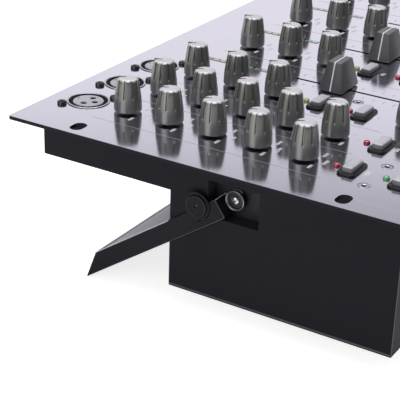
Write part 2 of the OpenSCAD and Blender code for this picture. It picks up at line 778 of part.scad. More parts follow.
module rubber_foot() {
    difference() {
        rotate_extrude() polygon([[0, 0], [foot_d / 2 - 1.5, 0], [foot_d / 2, foot_h], [0, foot_h]]);
        translate([0, 0, -1]) cylinder(r = foot_screw_r + hole_fit, h = foot_h + 2);
        translate([0, 0, -1]) cylinder(r = foot_recess_r, h = foot_recess_h + 1);
    }
}

module rubber_feet() {
    color([0.09, 0.09, 0.09])
        for (s = [-1, 1], y = foot_ys) translate([s * (half_w - foot_in), y, 0]) rubber_foot();
}

module csk_screw(length) {
    difference() {
        union() {
            csk_shape(0);
            translate([0, 0, -length]) cylinder(d = screw_d, h = length - csk_depth / 2);
        }
        translate([0, 0, -1]) cylinder(d = csk_head_d / 2, h = 2, $fn = 6);
    }
}

module pan_screw(length) {
    difference() {
        union() {
            cylinder(d = pan_head_d, h = pan_head_h);
            translate([0, 0, -length]) cylinder(d = screw_d, h = length + pan_head_h / 2);
        }
        for (a = [0, 90]) rotate([0, 0, a])
            block(pan_head_d * 0.6, 0.8, pan_head_h - slotted_depth, pan_head_h + 1);
    }
}

module nut(r, hole_r, t) {
    difference() {
        cylinder(r = r, h = t, $fn = 6);
        translate([0, 0, -1]) cylinder(r = hole_r, h = t + 2);
    }
}

module machine_screws() {
    color([0.3, 0.3, 0.32]) {
        for (p = csk_flange) on_panel(p[0], p[1]) {
            csk_screw(panel_t + sheet_t + 3);
            translate([0, 0, -panel_t - sheet_t - 2.4])
                nut(spacer_r, screw_d / 2 + hole_fit, 2.4);
        }
        for (p = csk_spacer) on_panel(p[0], p[1]) csk_screw(z_top - z_board - 0.5);
        for (x = xlrs, s = [-1, 1]) on_panel(x, xlr_d)
            translate([-s * xlr_screw_x, s * xlr_screw_y, 0]) pan_screw(panel_t + ear_t + 1);
        for (p = base_screws) translate([p[0], p[1], foot_h])
            rotate([180, 0, 0]) pan_screw(base_t + sheet_t + 2);
        for (s = [-1, 1])
            translate([mains_x + s * mains_screw_x, y_rear + mains_flange_t, rear_mid_z])
                rotate([-90, 0, 0]) pan_screw(mains_flange_t + sheet_t + 2);
        for (s = [-1, 1], y = foot_ys) translate([s * (half_w - foot_in), y, 0]) {
            translate([0, 0, foot_recess_h - foot_head_h])
                cylinder(r = foot_head_r, h = foot_head_h);
            translate([0, 0, foot_recess_h - 1])
                cylinder(r = foot_screw_r, h = z_base - foot_recess_h + 3);
        }
    }
}

// Pivot screw and lock screw of one side, seen from the chassis wall's outer face inwards
module side_screws() {
    head_in = tab_in - slide_gap;
    head_out = -slide_gap - bracket_t - slide_gap;
    translate([-half_w, pivot_y, pivot_z]) {
        difference() {
            union() {
                rod_x(pivot_head_d / 2, head_in - bracket_head_t, head_in);
                rod_x(pivot_shoulder_d / 2, head_in - 0.5, pocket_depth);
                rod_x(thread_r, pocket_depth - 0.5, pocket_depth + sheet_t + nut_t + 1);
            }
            rod_x(pivot_head_d / 4, head_in - bracket_head_t - 1,
                head_in - bracket_head_t + slotted_depth + 0.6);
        }
        translate([pocket_depth + sheet_t, 0, 0]) rotate([0, 90, 0])
            nut(nut_r, thread_r + hole_fit, nut_t);
    }
    translate([-half_w, lock_y, lock_z]) {
        difference() {
            union() {
                rod_x(lock_head_d / 2, head_out - lock_head_t, head_out);
                rod_x(lock_shank_d / 2, head_out - 0.5, sheet_t + nut_t + 1);
            }
            rod_x(lock_head_d / 5, head_out - lock_head_t - 1,
                head_out - lock_head_t + slotted_depth);
        }
        translate([sheet_t, 0, 0]) rotate([0, 90, 0])
            nut(nut_r, lock_shank_d / 2 + hole_fit, nut_t);
    }
}

module bracket_screws() {
    color([0.6, 0.6, 0.62]) {
        side_screws();
        mirror([1, 0, 0]) side_screws();
    }
}

// Stands its children, drawn along the arm and across it, at the pivot on the arm's slope
module on_arm() {
    translate([0, pivot_y, pivot_z]) rotate([-arm_slope, 0, 0]) children();
}

module arm_block(x1, x2, e1, e2, f1, f2) translate([x1, e1, f1]) cube([x2 - x1, e2 - e1, f2 - f1]);

// Left arm with its inward step through the chassis wall and the tab around the pivot
module bracket_arm() {
    outer = -arm_x - bracket_t;
    tab = -half_w + tab_in;
    difference() {
        union() {
            translate([outer + bracket_t / 2, 0, 0]) along_x(bracket_t)
                polygon([[joggle_e - bracket_t, arm_h], [joggle_e - bracket_t, -arm_h],
                    [tip_e, -arm_h], [tip_e - tip_back, arm_h]]);
            arm_block(outer, tab + bracket_t, joggle_e - bracket_t, joggle_e, -arm_h, arm_h);
            arm_block(tab, tab + bracket_t, 0, joggle_e, -arm_h, arm_h);
            rod_x(tab_r, tab, tab + bracket_t);
        }
        rod_x(pivot_shoulder_d / 2 + run_fit, tab - 1, tab + bracket_t + 1);
        arm_block(outer - 1, outer + bracket_t + 1, lock_e - notch_pad, notch_low_e + notch_pad,
            notch_low_f - notch_pad, arm_w);
    }
}

module support_bracket() {
    color([0.2, 0.2, 0.22]) on_arm() {
        bracket_arm();
        mirror([1, 0, 0]) bracket_arm();
        along_x(2 * (arm_x + bracket_t))
            polygon([[plate_e, arm_h], [plate_e, arm_h - bracket_t],
                [tip_e - tip_back - bracket_t, arm_h - bracket_t],
                [tip_e - 1.4 * bracket_t, -arm_h], [tip_e, -arm_h], [tip_e - tip_back, arm_h]]);
    }
}

// Outline of a knob from its foot to its slightly domed top
function knob_outline() = [[0, 0], [knob_d / 2, 0], [knob_d / 2, 1],
    [knob_d / 2 - 0.3, knob_straight * knob_h], [knob_top_d / 2 + 0.5, 0.86 * knob_h],
    [knob_top_d / 2, 0.96 * knob_h], [knob_top_d / 2 - 0.5, 0.985 * knob_h], [0, knob_h]];

module knob() {
    lean = atan2(knob_d / 2 - 0.2 - knob_top_d / 2 + flute_depth, flute_top_z - flute_start);
    shaft_low = z_board - z_top + bore_floor + slide_gap;
    color([0.42, 0.42, 0.4]) {
        translate([0, 0, knob_gap]) difference() {
            rotate_extrude() polygon(knob_outline());
            for (i = [0:flute_count - 1]) rotate([0, 0, 90 + (i + 0.5) * 360 / flute_count])
                translate([knob_d / 2 - 0.2 + flute_r, 0, flute_start])
                    rotate([0, -lean, 0]) translate([0, 0, -flute_start])
                        cylinder(r = flute_r, h = 2 * knob_h);
            translate([0, 0, -1]) cylinder(d = shaft_d + 2 * run_fit, h = knob_h - shaft_seat + 1);
            translate([0, knob_top_d / 4 + 1, 0])
                block(pointer_w, knob_top_d / 2 - 1, knob_h - 0.8, knob_h + 1);
        }
        translate([0, 0, shaft_low])
            cylinder(d = shaft_d, h = knob_gap + knob_h - shaft_seat - shaft_low);
    }
}

module button_cap() {
    low = z_board - z_top;
    color([0.8, 0.8, 0.8]) {
        block(cap_w, cap_d, -cap_skirt, cap_h - cap_taper);
        translate([0, 0, cap_h - cap_taper])
            tapered_block(cap_w, cap_d, cap_w - cap_taper, cap_d - 0.7 * cap_taper, cap_taper);
        block(stem_w, stem_w, low + 0.4 + slide_gap + button_travel, -cap_skirt);
    }
}

// Cap on a flat lever, set for travel along Y
module fader_cap() {
    color([0.25, 0.25, 0.27]) {
        translate([0, 0, fader_lift]) difference() {
            tapered_block(fader_cap_l, fader_cap_w, fader_top_l, fader_top_w, fader_cap_h);
            block(fader_cap_l, line_w, fader_cap_h - line_depth, fader_cap_h + 1);
        }
        block(lever_w, lever_l, z_board - z_top + fader_floor + slide_gap, fader_lift);
    }
}

module crossfader() {
    on_panel(crossfader_x, crossfader_d) rotate([0, 0, 90]) fader_cap();
}

module power_rocker() {
    color([0.75, 0.1, 0.08]) translate([rocker_x, rocker_axle_y, rear_mid_z])
        rotate([rocker_tilt, 0, 0]) {
            along_x(rocker_w) polygon([[-3, -6.2], [2.6, -6.8], [1.6, 0], [2.6, 6.8],
                [-3, 6.2], [-4.5, 0]]);
            rod_x(rocker_axle_r, -rocker_w / 2 - 1.3, rocker_w / 2 + 1.3);
        }
}

top_panel();
chassis_shell();
base_plate();
xlr_shells();
xlr_inserts();
signal_sockets();
mains_inlet();
circuit_boards();
rotary_pots();
fader_units();
button_switches();
button_bezels();
indicator_lamps();
meter_windows();
rubber_feet();
machine_screws();
bracket_screws();
for (k = knobs) on_panel(k[1], k[2])
    rotate([0, 0, knob_turn]) knob();
for (b = buttons) on_panel(b[1], b[2]) button_cap();
for (f = faders) on_panel(f[1], fader_mid_d - fader_set) fader_cap();
crossfader();
power_rocker();
support_bracket();
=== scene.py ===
"""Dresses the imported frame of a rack-panel mixing desk and stands it in a plain studio."""

import logging
import math
from contextlib import contextmanager
from dataclasses import dataclass
from enum import Enum
from typing import Callable, Iterator, Sequence

import bmesh
import bpy
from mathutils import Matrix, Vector


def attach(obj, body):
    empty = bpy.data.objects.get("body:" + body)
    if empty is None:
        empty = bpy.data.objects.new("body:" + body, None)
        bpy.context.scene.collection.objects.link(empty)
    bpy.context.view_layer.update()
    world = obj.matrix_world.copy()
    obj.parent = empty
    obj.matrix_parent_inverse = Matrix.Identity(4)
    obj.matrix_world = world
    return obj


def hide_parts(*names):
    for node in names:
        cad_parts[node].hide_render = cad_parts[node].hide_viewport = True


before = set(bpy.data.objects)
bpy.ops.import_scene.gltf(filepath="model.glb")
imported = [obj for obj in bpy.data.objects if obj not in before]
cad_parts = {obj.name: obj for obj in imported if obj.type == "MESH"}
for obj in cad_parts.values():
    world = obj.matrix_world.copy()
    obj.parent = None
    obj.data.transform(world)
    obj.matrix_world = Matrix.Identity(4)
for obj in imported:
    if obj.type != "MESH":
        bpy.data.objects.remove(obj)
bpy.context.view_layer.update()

MM = 0.001
# How close two places are taken for one, in millimetres
NEAR = 0.01
# Height of a capital as a share of the size of the letters
CAPITAL = 0.7
WHITE = (1.0, 1.0, 1.0)
NO_TURN = (0, 0, 0)
LOG = logging.getLogger("mixer")
Colour = tuple[float, float, float]
Point = tuple[float, float, float]
Flat = tuple[float, float]
Test = Callable[[Vector, Vector], bool]


class Val:
    """One output socket of a shader tree, with arithmetic."""

    def __init__(self, tree: "Tree", socket: bpy.types.NodeSocket) -> None:
        """Wraps an output socket of a tree."""
        self.tree = tree
        self.socket = socket

    def math(self, operation: str, other: "Val | float") -> "Val":
        """This value and another one, through one Math node."""
        return self.tree.node("ShaderNodeMath", {"operation": operation}, {0: self, 1: other})

    def __add__(self, other: "Val | float") -> "Val":
        """Sum."""
        return self.math("ADD", other)

    __radd__ = __add__

    def __sub__(self, other: "Val | float") -> "Val":
        """Difference."""
        return self.math("SUBTRACT", other)

    def __mul__(self, other: "Val | float") -> "Val":
        """Product."""
        return self.math("MULTIPLY", other)

    def over(self, limit: float) -> "Val":
        """One where the value is over the limit, else zero."""
        return self.math("GREATER_THAN", limit)


class Tree:
    """The node tree of one material or of the world."""

    def __init__(self, owner: bpy.types.ID) -> None:
        """Empties the owner's tree.

        Args:
            owner: The material or world.
        """
        owner.use_nodes = True
        self.nodes = owner.node_tree.nodes
        self.links = owner.node_tree.links
        self.nodes.clear()

    def node(self, kind: str, settings: dict | None = None, inputs: dict | None = None,
             out: int | str = 0) -> Val | None:
        """Adds any node.

        Args:
            kind: The node's type.
            settings: Its settings, set first; "stops" gives a ramp's places and colours.
            inputs: Values or links of its sockets, by name or number.
            out: The output that is wanted.

        Returns:
            The wanted output, if the node has outputs.
        """
        made = self.nodes.new(kind)
        for key, value in (settings or {}).items():
            if key == "stops":
                ramp = made.color_ramp.elements
                while len(ramp) < len(value):
                    ramp.new(0.5)
                for element, (place, colour) in zip(ramp, value):
                    element.position = place
                    element.color = (*colour, 1.0)
            else:
                setattr(made, key, value)
        for key, value in (inputs or {}).items():
            if isinstance(value, Val):
                self.links.new(value.socket, made.inputs[key])
            else:
                if isinstance(value, tuple) and made.inputs[key].type == "RGBA":
                    value = (*value, 1.0)
                made.inputs[key].default_value = value
        return Val(self, made.outputs[out]) if made.outputs else None

    def mix(self, factor: Val, a: Val | Colour, b: Val | Colour) -> Val:
        """Mixes two colours."""
        return self.node("ShaderNodeMix", {"data_type": "RGBA"}, {0: factor, 6: a, 7: b}, 2)

    def noise(self, scale: float, stretch: Point = (1.0, 1.0, 1.0), detail: float = 2.0,
              rough: float = 0.5) -> Val:
        """Noise on object coordinates.

        Args:
            scale: Cells to a metre.
            stretch: Scale of each axis before the noise.
            detail: Octaves.
            rough: Weight of the finer octaves.

        Returns:
            The noise, around a half.
        """
        place = self.node("ShaderNodeTexCoord", out="Object")
        place = self.node("ShaderNodeMapping", None, {"Vector": place, "Scale": stretch})
        return self.node("ShaderNodeTexNoise", None, {
            "Vector": place, "Scale": scale, "Detail": detail, "Roughness": rough})

    def ray(self, kind: str) -> Val:
        """One for rays of a kind, such as "Camera", else zero."""
        return self.node("ShaderNodeLightPath", out=f"Is {kind} Ray")

    def surface(self, bump: Val | None = None, depth: float = 0.05, strength: float = 0.3,
                **sockets: Val | Colour | float) -> None:
        """Ends the tree in one Principled shader.

        Args:
            bump: Height of the relief, if any.
            depth: Its depth in millimetres.
            strength: Its strength.
            sockets: Values or links of the shader, its names with underscores.
        """
        inputs = {key.replace("_", " "): value for key, value in sockets.items()}
        if bump is not None:
            inputs["Normal"] = self.node("ShaderNodeBump", None, {
                "Strength": strength, "Distance": depth * MM, "Height": bump})
        shader = self.node("ShaderNodeBsdfPrincipled", None, inputs)
        self.node("ShaderNodeOutputMaterial", None, {"Surface": shader})


def tint(colour: Colour, gain: float) -> Colour:
    """A colour made lighter or darker."""
    return tuple(min(1.0, part * gain) for part in colour)


def reach(p: Vector) -> float:
    """Distance of a point from the vertical axis."""
    return math.hypot(p.x, p.y)


@dataclass(frozen=True)
class Finish:
    """A finish that is made into a material once."""

    name: str
    colour: Colour

    def build(self, tree: Tree) -> None:
        """Fills the material's tree."""
        raise NotImplementedError

    def material(self) -> bpy.types.Material:
        """The finish's material, made at its first use.

        Returns:
            The material.
        """
        found = bpy.data.materials.get(self.name)
        if found is None:
            found = bpy.data.materials.new(self.name)
            self.build(Tree(found))
        return found


@dataclass(frozen=True)
class Brushed(Finish):
    """Brushed sheet metal, its lines along the depth of the panel."""

    roughness: float = 0.2
    metallic: float = 1.0
    contrast: float = 0.1
    lines: Point = (1.0, 0.012, 1.0)

    def build(self, tree: Tree) -> None:
        """Long fine lines, a few deeper ones, and a slow change of gloss.

        Args:
            tree: The material's tree.
        """
        fine = tree.noise(2600.0, self.lines, 4.0, 0.7)
        broad = tree.noise(420.0, self.lines, 2.0)
        cloud = tree.noise(14.0, detail=3.0)
        line = fine * 0.6 + broad * 0.4
        dark, light = tint(self.colour, 1 - self.contrast), tint(self.colour, 1 + self.contrast)
        colour = tree.mix(line, dark, light)
        rough = self.roughness + (line - 0.5) * 0.2 + (cloud - 0.5) * 0.05
        tree.surface(line, 0.01, 0.24, Base_Color=colour, Metallic=self.metallic,
                     Roughness=rough)


@dataclass(frozen=True)
class Moulded(Finish):
    """Moulded plastic, rubber or powder coat, with a fine grain."""

    roughness: float = 0.4
    metallic: float = 0.0
    coat: float = 0.0
    grain: float = 2500.0
    depth: float = 0.03
    specular: float = 0.5

    def build(self, tree: Tree) -> None:
        """An even colour that changes a little, with grain in gloss and relief.

        Args:
            tree: The material's tree.
        """
        speck = tree.noise(self.grain, detail=2.0)
        cloud = tree.noise(45.0, detail=3.0)
        colour = tree.mix(cloud * 0.7 + speck * 0.3, tint(self.colour, 0.86),
                          tint(self.colour, 1.14))
        rough = self.roughness + (speck - 0.5) * 0.16 + (cloud - 0.5) * 0.08
        tree.surface(speck, self.depth, 0.2, Base_Color=colour, Roughness=rough,
                     Metallic=self.metallic, Coat_Weight=self.coat, Coat_Roughness=0.12,
                     Specular_IOR_Level=self.specular)


@dataclass(frozen=True)
class Flecked(Finish):
    """Metallic plastic, with fine bright flakes under a satin skin."""

    roughness: float = 0.36
    metallic: float = 0.9

    def build(self, tree: Tree) -> None:
        """Flakes in the colour, and a cloudy gloss.

        Args:
            tree: The material's tree.
        """
        flake = tree.noise(5200.0, detail=1.0)
        cloud = tree.noise(90.0, detail=2.0)
        colour = tree.mix(flake, tint(self.colour, 0.78), tint(self.colour, 1.25))
        rough = self.roughness + (flake - 0.5) * 0.12 + (cloud - 0.5) * 0.1
        tree.surface(flake, 0.008, 0.12, Base_Color=colour, Roughness=rough,
                     Metallic=self.metallic, Coat_Weight=0.15, Coat_Roughness=0.2)


@dataclass(frozen=True)
class Lens(Finish):
    """Clear coloured plastic over a small lamp."""

    glow: float = 0.05

    def build(self, tree: Tree) -> None:
        """A deep colour with a gloss coat and a faint light inside.

        Args:
            tree: The material's tree.
        """
        cloud = tree.noise(700.0, detail=1.0)
        colour = tree.mix(cloud, tint(self.colour, 0.75), tint(self.colour, 1.2))
        tree.surface(None, Base_Color=colour, Roughness=0.12, Coat_Weight=1.0,
                     Coat_Roughness=0.03, Emission_Color=colour, Emission_Strength=self.glow)


@dataclass(frozen=True)
class Laminate(Finish):
    """Green circuit board, with its weave just showing."""

    def build(self, tree: Tree) -> None:
        """Tracks as soft patches over the weave.

        Args:
            tree: The material's tree.
        """
        track = tree.noise(260.0, (1.0, 0.35, 1.0), 1.0).over(0.54)
        weave = tree.noise(2200.0, detail=1.0)
        colour = tree.mix(track, self.colour, tint(self.colour, 1.7))
        tree.surface(weave, 0.03, 0.2, Base_Color=colour, Roughness=0.35 + weave * 0.1)


class Shade:
    """The finishes of this desk, among them painted highlights, a painted reflection, painted
    shade and painted fill light.
    """

    PANEL = Brushed("panel_brushed", (0.69, 0.675, 0.775), 0.12)
    PANEL_EDGE = Moulded("panel_edge", (0.0085, 0.008, 0.0125), 0.45, specular=0.14)
    CHASSIS = Moulded("chassis_coat", (0.0092, 0.0086, 0.0142), 0.46, grain=1800.0,
                      specular=0.12)
    # Lighter than the chassis coat: painted fill light for the side recesses, which lie in shade
    POCKET = Moulded("pocket_painted_fill_light", (0.030, 0.029, 0.033), 0.5, grain=1800.0, specular=0.2)
    BRACKET = Moulded("bracket_coat", (0.0078, 0.0072, 0.0130), 0.42, grain=1800.0,
                      specular=0.14)
    # Pale lilac on a black-painted plate: painted reflection of the white surroundings
    BRACKET_FACE = Brushed("bracket_plate_painted_reflection", (0.68, 0.665, 0.775), 0.6, 0.0, 0.14,
                           (0.02, 1.0, 1.0))
    # Lighter than the coat: painted highlight on bevelled edges of the chassis and the bracket
    RUBBED = Moulded("painted_edge_highlight", (0.08, 0.08, 0.09), 0.28, grain=1200.0, specular=0.6)
    # Near-white: painted highlight along the arms' top edges, where the plate bends
    BRIGHT_EDGE = Moulded("painted_bend_highlight", (0.88, 0.88, 0.90), 0.4, grain=1200.0)
    # Lighter metal on a black screw: painted highlight on the crest of the pivot screw's rim
    PIVOT_RING = Moulded("pivot_rim_painted_highlight", (0.34, 0.34, 0.36), 0.3, metallic=0.8, grain=1200.0)
    KNOB = Flecked("knob_grey", (0.235, 0.235, 0.222))
    # Much lighter than the knob: painted highlight on the knob tops where they face up
    KNOB_TOP = Brushed("knob_top_painted_highlight", (0.60, 0.60, 0.63), 0.4, 0.3, 0.12, (1.0, 0.05, 1.0))
    POINTER = Moulded("pointer_ink", (0.03, 0.03, 0.03), 0.5)
    BEZEL = Moulded("bezel_black", (0.006, 0.006, 0.007), 0.32, specular=0.3)
    CAP = Moulded("button_grey", (0.50, 0.50, 0.55), 0.34, coat=0.1)
    # Darker than the button: painted shade on the sides of the button caps
    CAP_SIDE = Moulded("button_side_painted_shade", (0.17, 0.165, 0.18), 0.34, coat=0.1)
    FADER = Moulded("fader_grey", (0.075, 0.075, 0.082), 0.34)
    INK = Moulded("white_print", (0.80, 0.80, 0.84), 0.5, grain=4000.0)
    LINE = Moulded("line_print", (0.30, 0.29, 0.32), 0.5, grain=4000.0)
    RING = Brushed("socket_ring", (0.56, 0.54, 0.60), 0.22)
    GLOSS_BLACK = Moulded("gloss_black", (0.012, 0.012, 0.013), 0.16, specular=0.7)
    STEEL = Brushed("bright_steel", (0.62, 0.62, 0.64), 0.24, 1.0, 0.08, (1.0, 1.0, 0.1))
    DARK_STEEL = Moulded("dark_steel", (0.10, 0.10, 0.105), 0.3, metallic=0.9, grain=1200.0)
    SCREW = Moulded("screw_bright", (0.56, 0.54, 0.60), 0.22, metallic=1.0, grain=1500.0)
    # Dark ring in the gap round the countersunk heads: painted shade
    GAP = Moulded("screw_gap_painted_shade", (0.10, 0.10, 0.115), 0.4)
    INSERT = Moulded("insert_satin", (0.43, 0.42, 0.48), 0.4)
    BLACK = Moulded("socket_black", (0.012, 0.012, 0.012), 0.38)
    # Near-black without gloss: painted shade in the gap round the socket inserts and in their pin
    # holes
    SEAT = Moulded("socket_seat_painted_shade", (0.008, 0.007, 0.012), 0.6, specular=0.05)
    RUBBER = Moulded("rubber_black", (0.02, 0.02, 0.02), 0.72, grain=900.0, depth=0.08)
    WINDOW = Moulded("meter_window", (0.008, 0.008, 0.010), 0.12, coat=0.8)
    BOARD = Laminate("board_green", (0.012, 0.07, 0.028))
    BRASS = Moulded("contact_brass", (0.72, 0.52, 0.2), 0.25, metallic=1.0)
    RED_PLASTIC = Moulded("socket_red", (0.42, 0.02, 0.02), 0.3)
    WHITE_PLASTIC = Moulded("socket_white", (0.68, 0.67, 0.65), 0.35)
    ROCKER = Moulded("rocker_red", (0.4, 0.015, 0.012), 0.22, coat=0.5)


class Glow(Enum):
    """Colours of the lamps."""

    RED = Lens("lamp_red", (0.36, 0.010, 0.045))
    LIME = Lens("lamp_lime", (0.33, 0.36, 0.13))
    GREEN = Lens("lamp_green", (0.12, 0.34, 0.17))


class Piece:
    """A mesh made with Blender's own modelling tools. Lengths are in millimetres."""

    def __init__(self, name: str = "", obj: bpy.types.Object | None = None) -> None:
        """Wraps an object, or else the active one, and names it if a name is given."""
        self.obj = obj or bpy.context.object
        self.obj.name = name or self.obj.name

    @staticmethod
    def clear() -> None:
        """Leaves nothing selected."""
        bpy.ops.object.select_all(action="DESELECT")

    @staticmethod
    def drop(*pieces: "Piece") -> None:
        """Removes pieces that others were copied from or cut with."""
        for piece in pieces:
            bpy.data.objects.remove(piece.obj)

    def run(self, operator: Callable[..., object], *others: "Piece",
            **settings: object) -> "Piece":
        """Runs an operator with this piece active, and nothing else selected but the others.

        Args:
            operator: The operator, from bpy.ops.
            others: Other pieces that it works on.
            settings: Its settings.

        Returns:
            The piece.
        """
        Piece.clear()
        for piece in (self, *others):
            piece.obj.select_set(True)
        bpy.context.view_layer.objects.active = self.obj
        operator(**settings)
        return self

    @contextmanager
    def shaping(self) -> Iterator[None]:
        """Edit mode, with the whole piece selected at the start."""
        self.run(bpy.ops.object.mode_set, mode="EDIT")
        bpy.ops.mesh.select_all(action="SELECT")
        yield
        bpy.ops.object.mode_set(mode="OBJECT")

    def pick(self, kind: str, test: Test) -> None:
        """Selects vertices, edges or faces by their place, in edit mode.

        Args:
            kind: "VERT", "EDGE" or "FACE".
            test: Says yes to a middle in millimetres and a direction or normal.
        """
        bpy.ops.mesh.select_mode(type=kind)
        bpy.ops.mesh.select_all(action="DESELECT")
        mesh = bmesh.from_edit_mesh(self.obj.data)
        for item in {"VERT": mesh.verts, "EDGE": mesh.edges, "FACE": mesh.faces}[kind]:
            if kind == "EDGE":
                a, b = (corner.co for corner in item.verts)
                middle, way = (a + b) / 2, (b - a).normalized()
            else:
                middle = item.co if kind == "VERT" else item.calc_center_median()
                way = item.normal
            if test(middle / MM, way):
                item.select_set(True)
        mesh.select_flush_mode()
        bmesh.update_edit_mesh(self.obj.data, loop_triangles=False, destructive=False)

    @staticmethod
    def slice(at: Sequence[float], normal: Sequence[float]) -> None:
        """Cuts faces in two where a plane crosses them, in edit mode, in millimetres."""
        bpy.ops.mesh.select_all(action="SELECT")
        bpy.ops.mesh.bisect(plane_co=[v * MM for v in at], plane_no=normal)

    def grow(self, layers: Sequence[Point], ring: bool) -> None:
        """Extrudes the start face from layer to layer and closes the shape.

        Args:
            layers: Width, depth and height of each layer, the start first.
            ring: Whether the last face is bridged to the first.
        """
        for (w, d, z), (w2, d2, z2) in zip(layers, layers[1:]):
            bpy.ops.mesh.extrude_region_move(
                TRANSFORM_OT_translate={"value": (0, 0, (z2 - z) * MM)})
            if (w, d) != (w2, d2):
                bpy.ops.transform.resize(value=(w2 / w, d2 / d, 1), center_override=(0, 0, 0))
        if ring:
            bpy.ops.mesh.select_all(action="DESELECT")
            mesh = bmesh.from_edit_mesh(self.obj.data)
            for face in mesh.faces:
                if len(face.verts) > 4:
                    face.select_set(True)
            mesh.select_flush_mode()
            bmesh.update_edit_mesh(self.obj.data)
            bpy.ops.mesh.bridge_edge_loops()
        bpy.ops.mesh.select_all(action="SELECT")
        bpy.ops.mesh.normals_make_consistent(inside=False)

    @staticmethod
    def turned(name: str, outline: Sequence[Flat], steps: int = 48,
               ring: bool = False) -> "Piece":
        """Turns an outline round the vertical axis.

        Args:
            name: The piece's name.
            outline: Radius and height of each point.
            steps: Faces round the axis.
            ring: Whether the middle stays open.

        Returns:
            The piece.
        """
        radius, height = outline[0]
        bpy.ops.mesh.primitive_circle_add(vertices=steps, radius=radius * MM,
                                          fill_type="NGON", location=(0, 0, height * MM))
        piece = Piece(name).settled()
        with piece.shaping():
            piece.grow([(r, r, z) for r, z in outline], ring)
        return piece

    @staticmethod
    def stacked(name: str, layers: Sequence[Point], corner: float = 0.0, segments: int = 4,
                ring: bool = False) -> "Piece":
        """Builds a block from rectangular layers.

        Args:
            name: The piece's name.
            layers: Width, depth and height of each layer.
            corner: Radius of the upright corners.
            segments: Faces of each corner.
            ring: Whether the middle stays open.

        Returns:
            The piece.
        """
        w, d, z = layers[0]
        bpy.ops.mesh.primitive_plane_add(size=1, location=(0, 0, z * MM))
        piece = Piece(name)
        piece.obj.scale = (w * MM, d * MM, 1)
        with piece.settled().shaping():
            if corner:
                bpy.ops.mesh.bevel(offset=corner * MM, segments=segments, affect="VERTICES")
                bpy.ops.mesh.select_all(action="SELECT")
            piece.grow(layers, ring)
        return piece

    @staticmethod
    def joined(name: str, pieces: Sequence["Piece"]) -> "Piece":
        """Makes one piece of several and names it."""
        return Piece(name, pieces[0].run(bpy.ops.object.join, *pieces[1:]).obj)

    @staticmethod
    def cleaned(node: str, name: str) -> "Piece":
        """A copy of a node of the frame as one clean mesh.

        Args:
            node: The node.
            name: The copy's name.

        Returns:
            The copy.
        """
        copy = bpy.data.objects.new(name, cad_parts[node].data.copy())
        bpy.context.scene.collection.objects.link(copy)
        copy.data.materials.clear()
        piece = Piece(name, copy)
        with piece.shaping():
            bpy.ops.mesh.remove_doubles(threshold=0.000002)
            bpy.ops.mesh.dissolve_limited(angle_limit=math.radians(0.6))
        return piece

    @staticmethod
    def softened(node: str, width: float) -> "Piece":
        """A copy of a node of the frame with its edges softened by so many millimetres."""
        piece = Piece.cleaned(node, node + "_skin")
        return piece.rounded(width, 40.0, False).smooth(20)

    @staticmethod
    def lettering(text: str, height: float, at: Point) -> "Piece":
        """Raised lettering.

        Args:
            text: The words or numbers.
            height: Height of a capital in millimetres.
            at: Middle of the words.

        Returns:
            The piece.
        """
        Piece.clear()
        bpy.ops.object.text_add()
        words = bpy.context.object.data
        words.body = text
        words.size = height / CAPITAL * MM
        words.align_x = words.align_y = "CENTER"
        words.resolution_u = 2
        words.extrude = 0.015 * MM
        words.offset = 0.04 * MM * height
        bpy.ops.object.convert(target="MESH")
        return Piece().place(at)

    def settled(self) -> "Piece":
        """Moves the object's place, turn and scale into its mesh."""
        return self.run(bpy.ops.object.transform_apply, location=True, rotation=True, scale=True)

    def place(self, at: Point, turn: Point = NO_TURN) -> "Piece":
        """Turns and moves the piece, and leaves its object at the origin.

        Args:
            at: Its place in millimetres.
            turn: Its turn about each axis in degrees.

        Returns:
            The piece.
        """
        self.obj.location = [v * MM for v in at]
        self.obj.rotation_euler = [math.radians(v) for v in turn]
        return self.settled()

    def twin(self, name: str, at: Point, turn: Point = NO_TURN) -> "Piece":
        """A copy with its own mesh, at a place in millimetres and a turn in degrees."""
        self.run(bpy.ops.object.duplicate, linked=False)
        return Piece(name).place(at, turn)

    def modified(self, kind: str, **settings: object) -> "Piece":
        """Adds one modifier and applies it.

        Args:
            kind: The modifier's type.
            settings: Its settings.

        Returns:
            The piece.
        """
        self.run(bpy.ops.object.modifier_add, type=kind)
        modifier = self.obj.modifiers[-1]
        for key, value in settings.items():
            setattr(modifier, key, value)
        bpy.ops.object.modifier_apply(modifier=modifier.name)
        return self

    def rounded(self, width: float, angle: float, clamp: bool = True) -> "Piece":
        """Bevels the sharp edges and shades the rest smooth.

        Args:
            width: Width of the bevel in millimetres.
            angle: Least angle of a sharp edge.
            clamp: Whether the bevel stops short of its neighbours.

        Returns:
            The piece.
        """
        self.modified("BEVEL", width=width * MM, segments=2, limit_method="ANGLE",
                      angle_limit=math.radians(angle), use_clamp_overlap=clamp)
        return self.smooth()

    def cut(self, tool: "Piece") -> None:
        """Takes a tool's shape out of the piece and throws the tool away."""
        self.modified("BOOLEAN", operation="DIFFERENCE", solver="EXACT", object=tool.obj)
        Piece.drop(tool)

    def smooth(self, angle: float = 38.0) -> "Piece":
        """Shades the piece smooth where its faces meet below an angle in degrees."""
        return self.run(bpy.ops.object.shade_smooth_by_angle, angle=math.radians(angle))

    def dress(self, *finishes: Finish) -> "Piece":
        """Gives the piece its finishes, one material slot each.

        Args:
            finishes: The finishes.

        Returns:
            The piece.
        """
        self.obj.data.materials.clear()
        for finish in finishes:
            self.obj.data.materials.append(finish.material())
        return self

    def paint(self, index: int, test: Test) -> "Piece":
        """Gives the faces that pass a test one of the piece's finishes.

        Args:
            index: Number of the finish.
            test: Says yes to a face's middle in millimetres and its normal.

        Returns:
            The piece.
        """
        for face in self.obj.data.polygons:
            if test(face.center / MM, face.normal):
                face.material_index = index
        return self

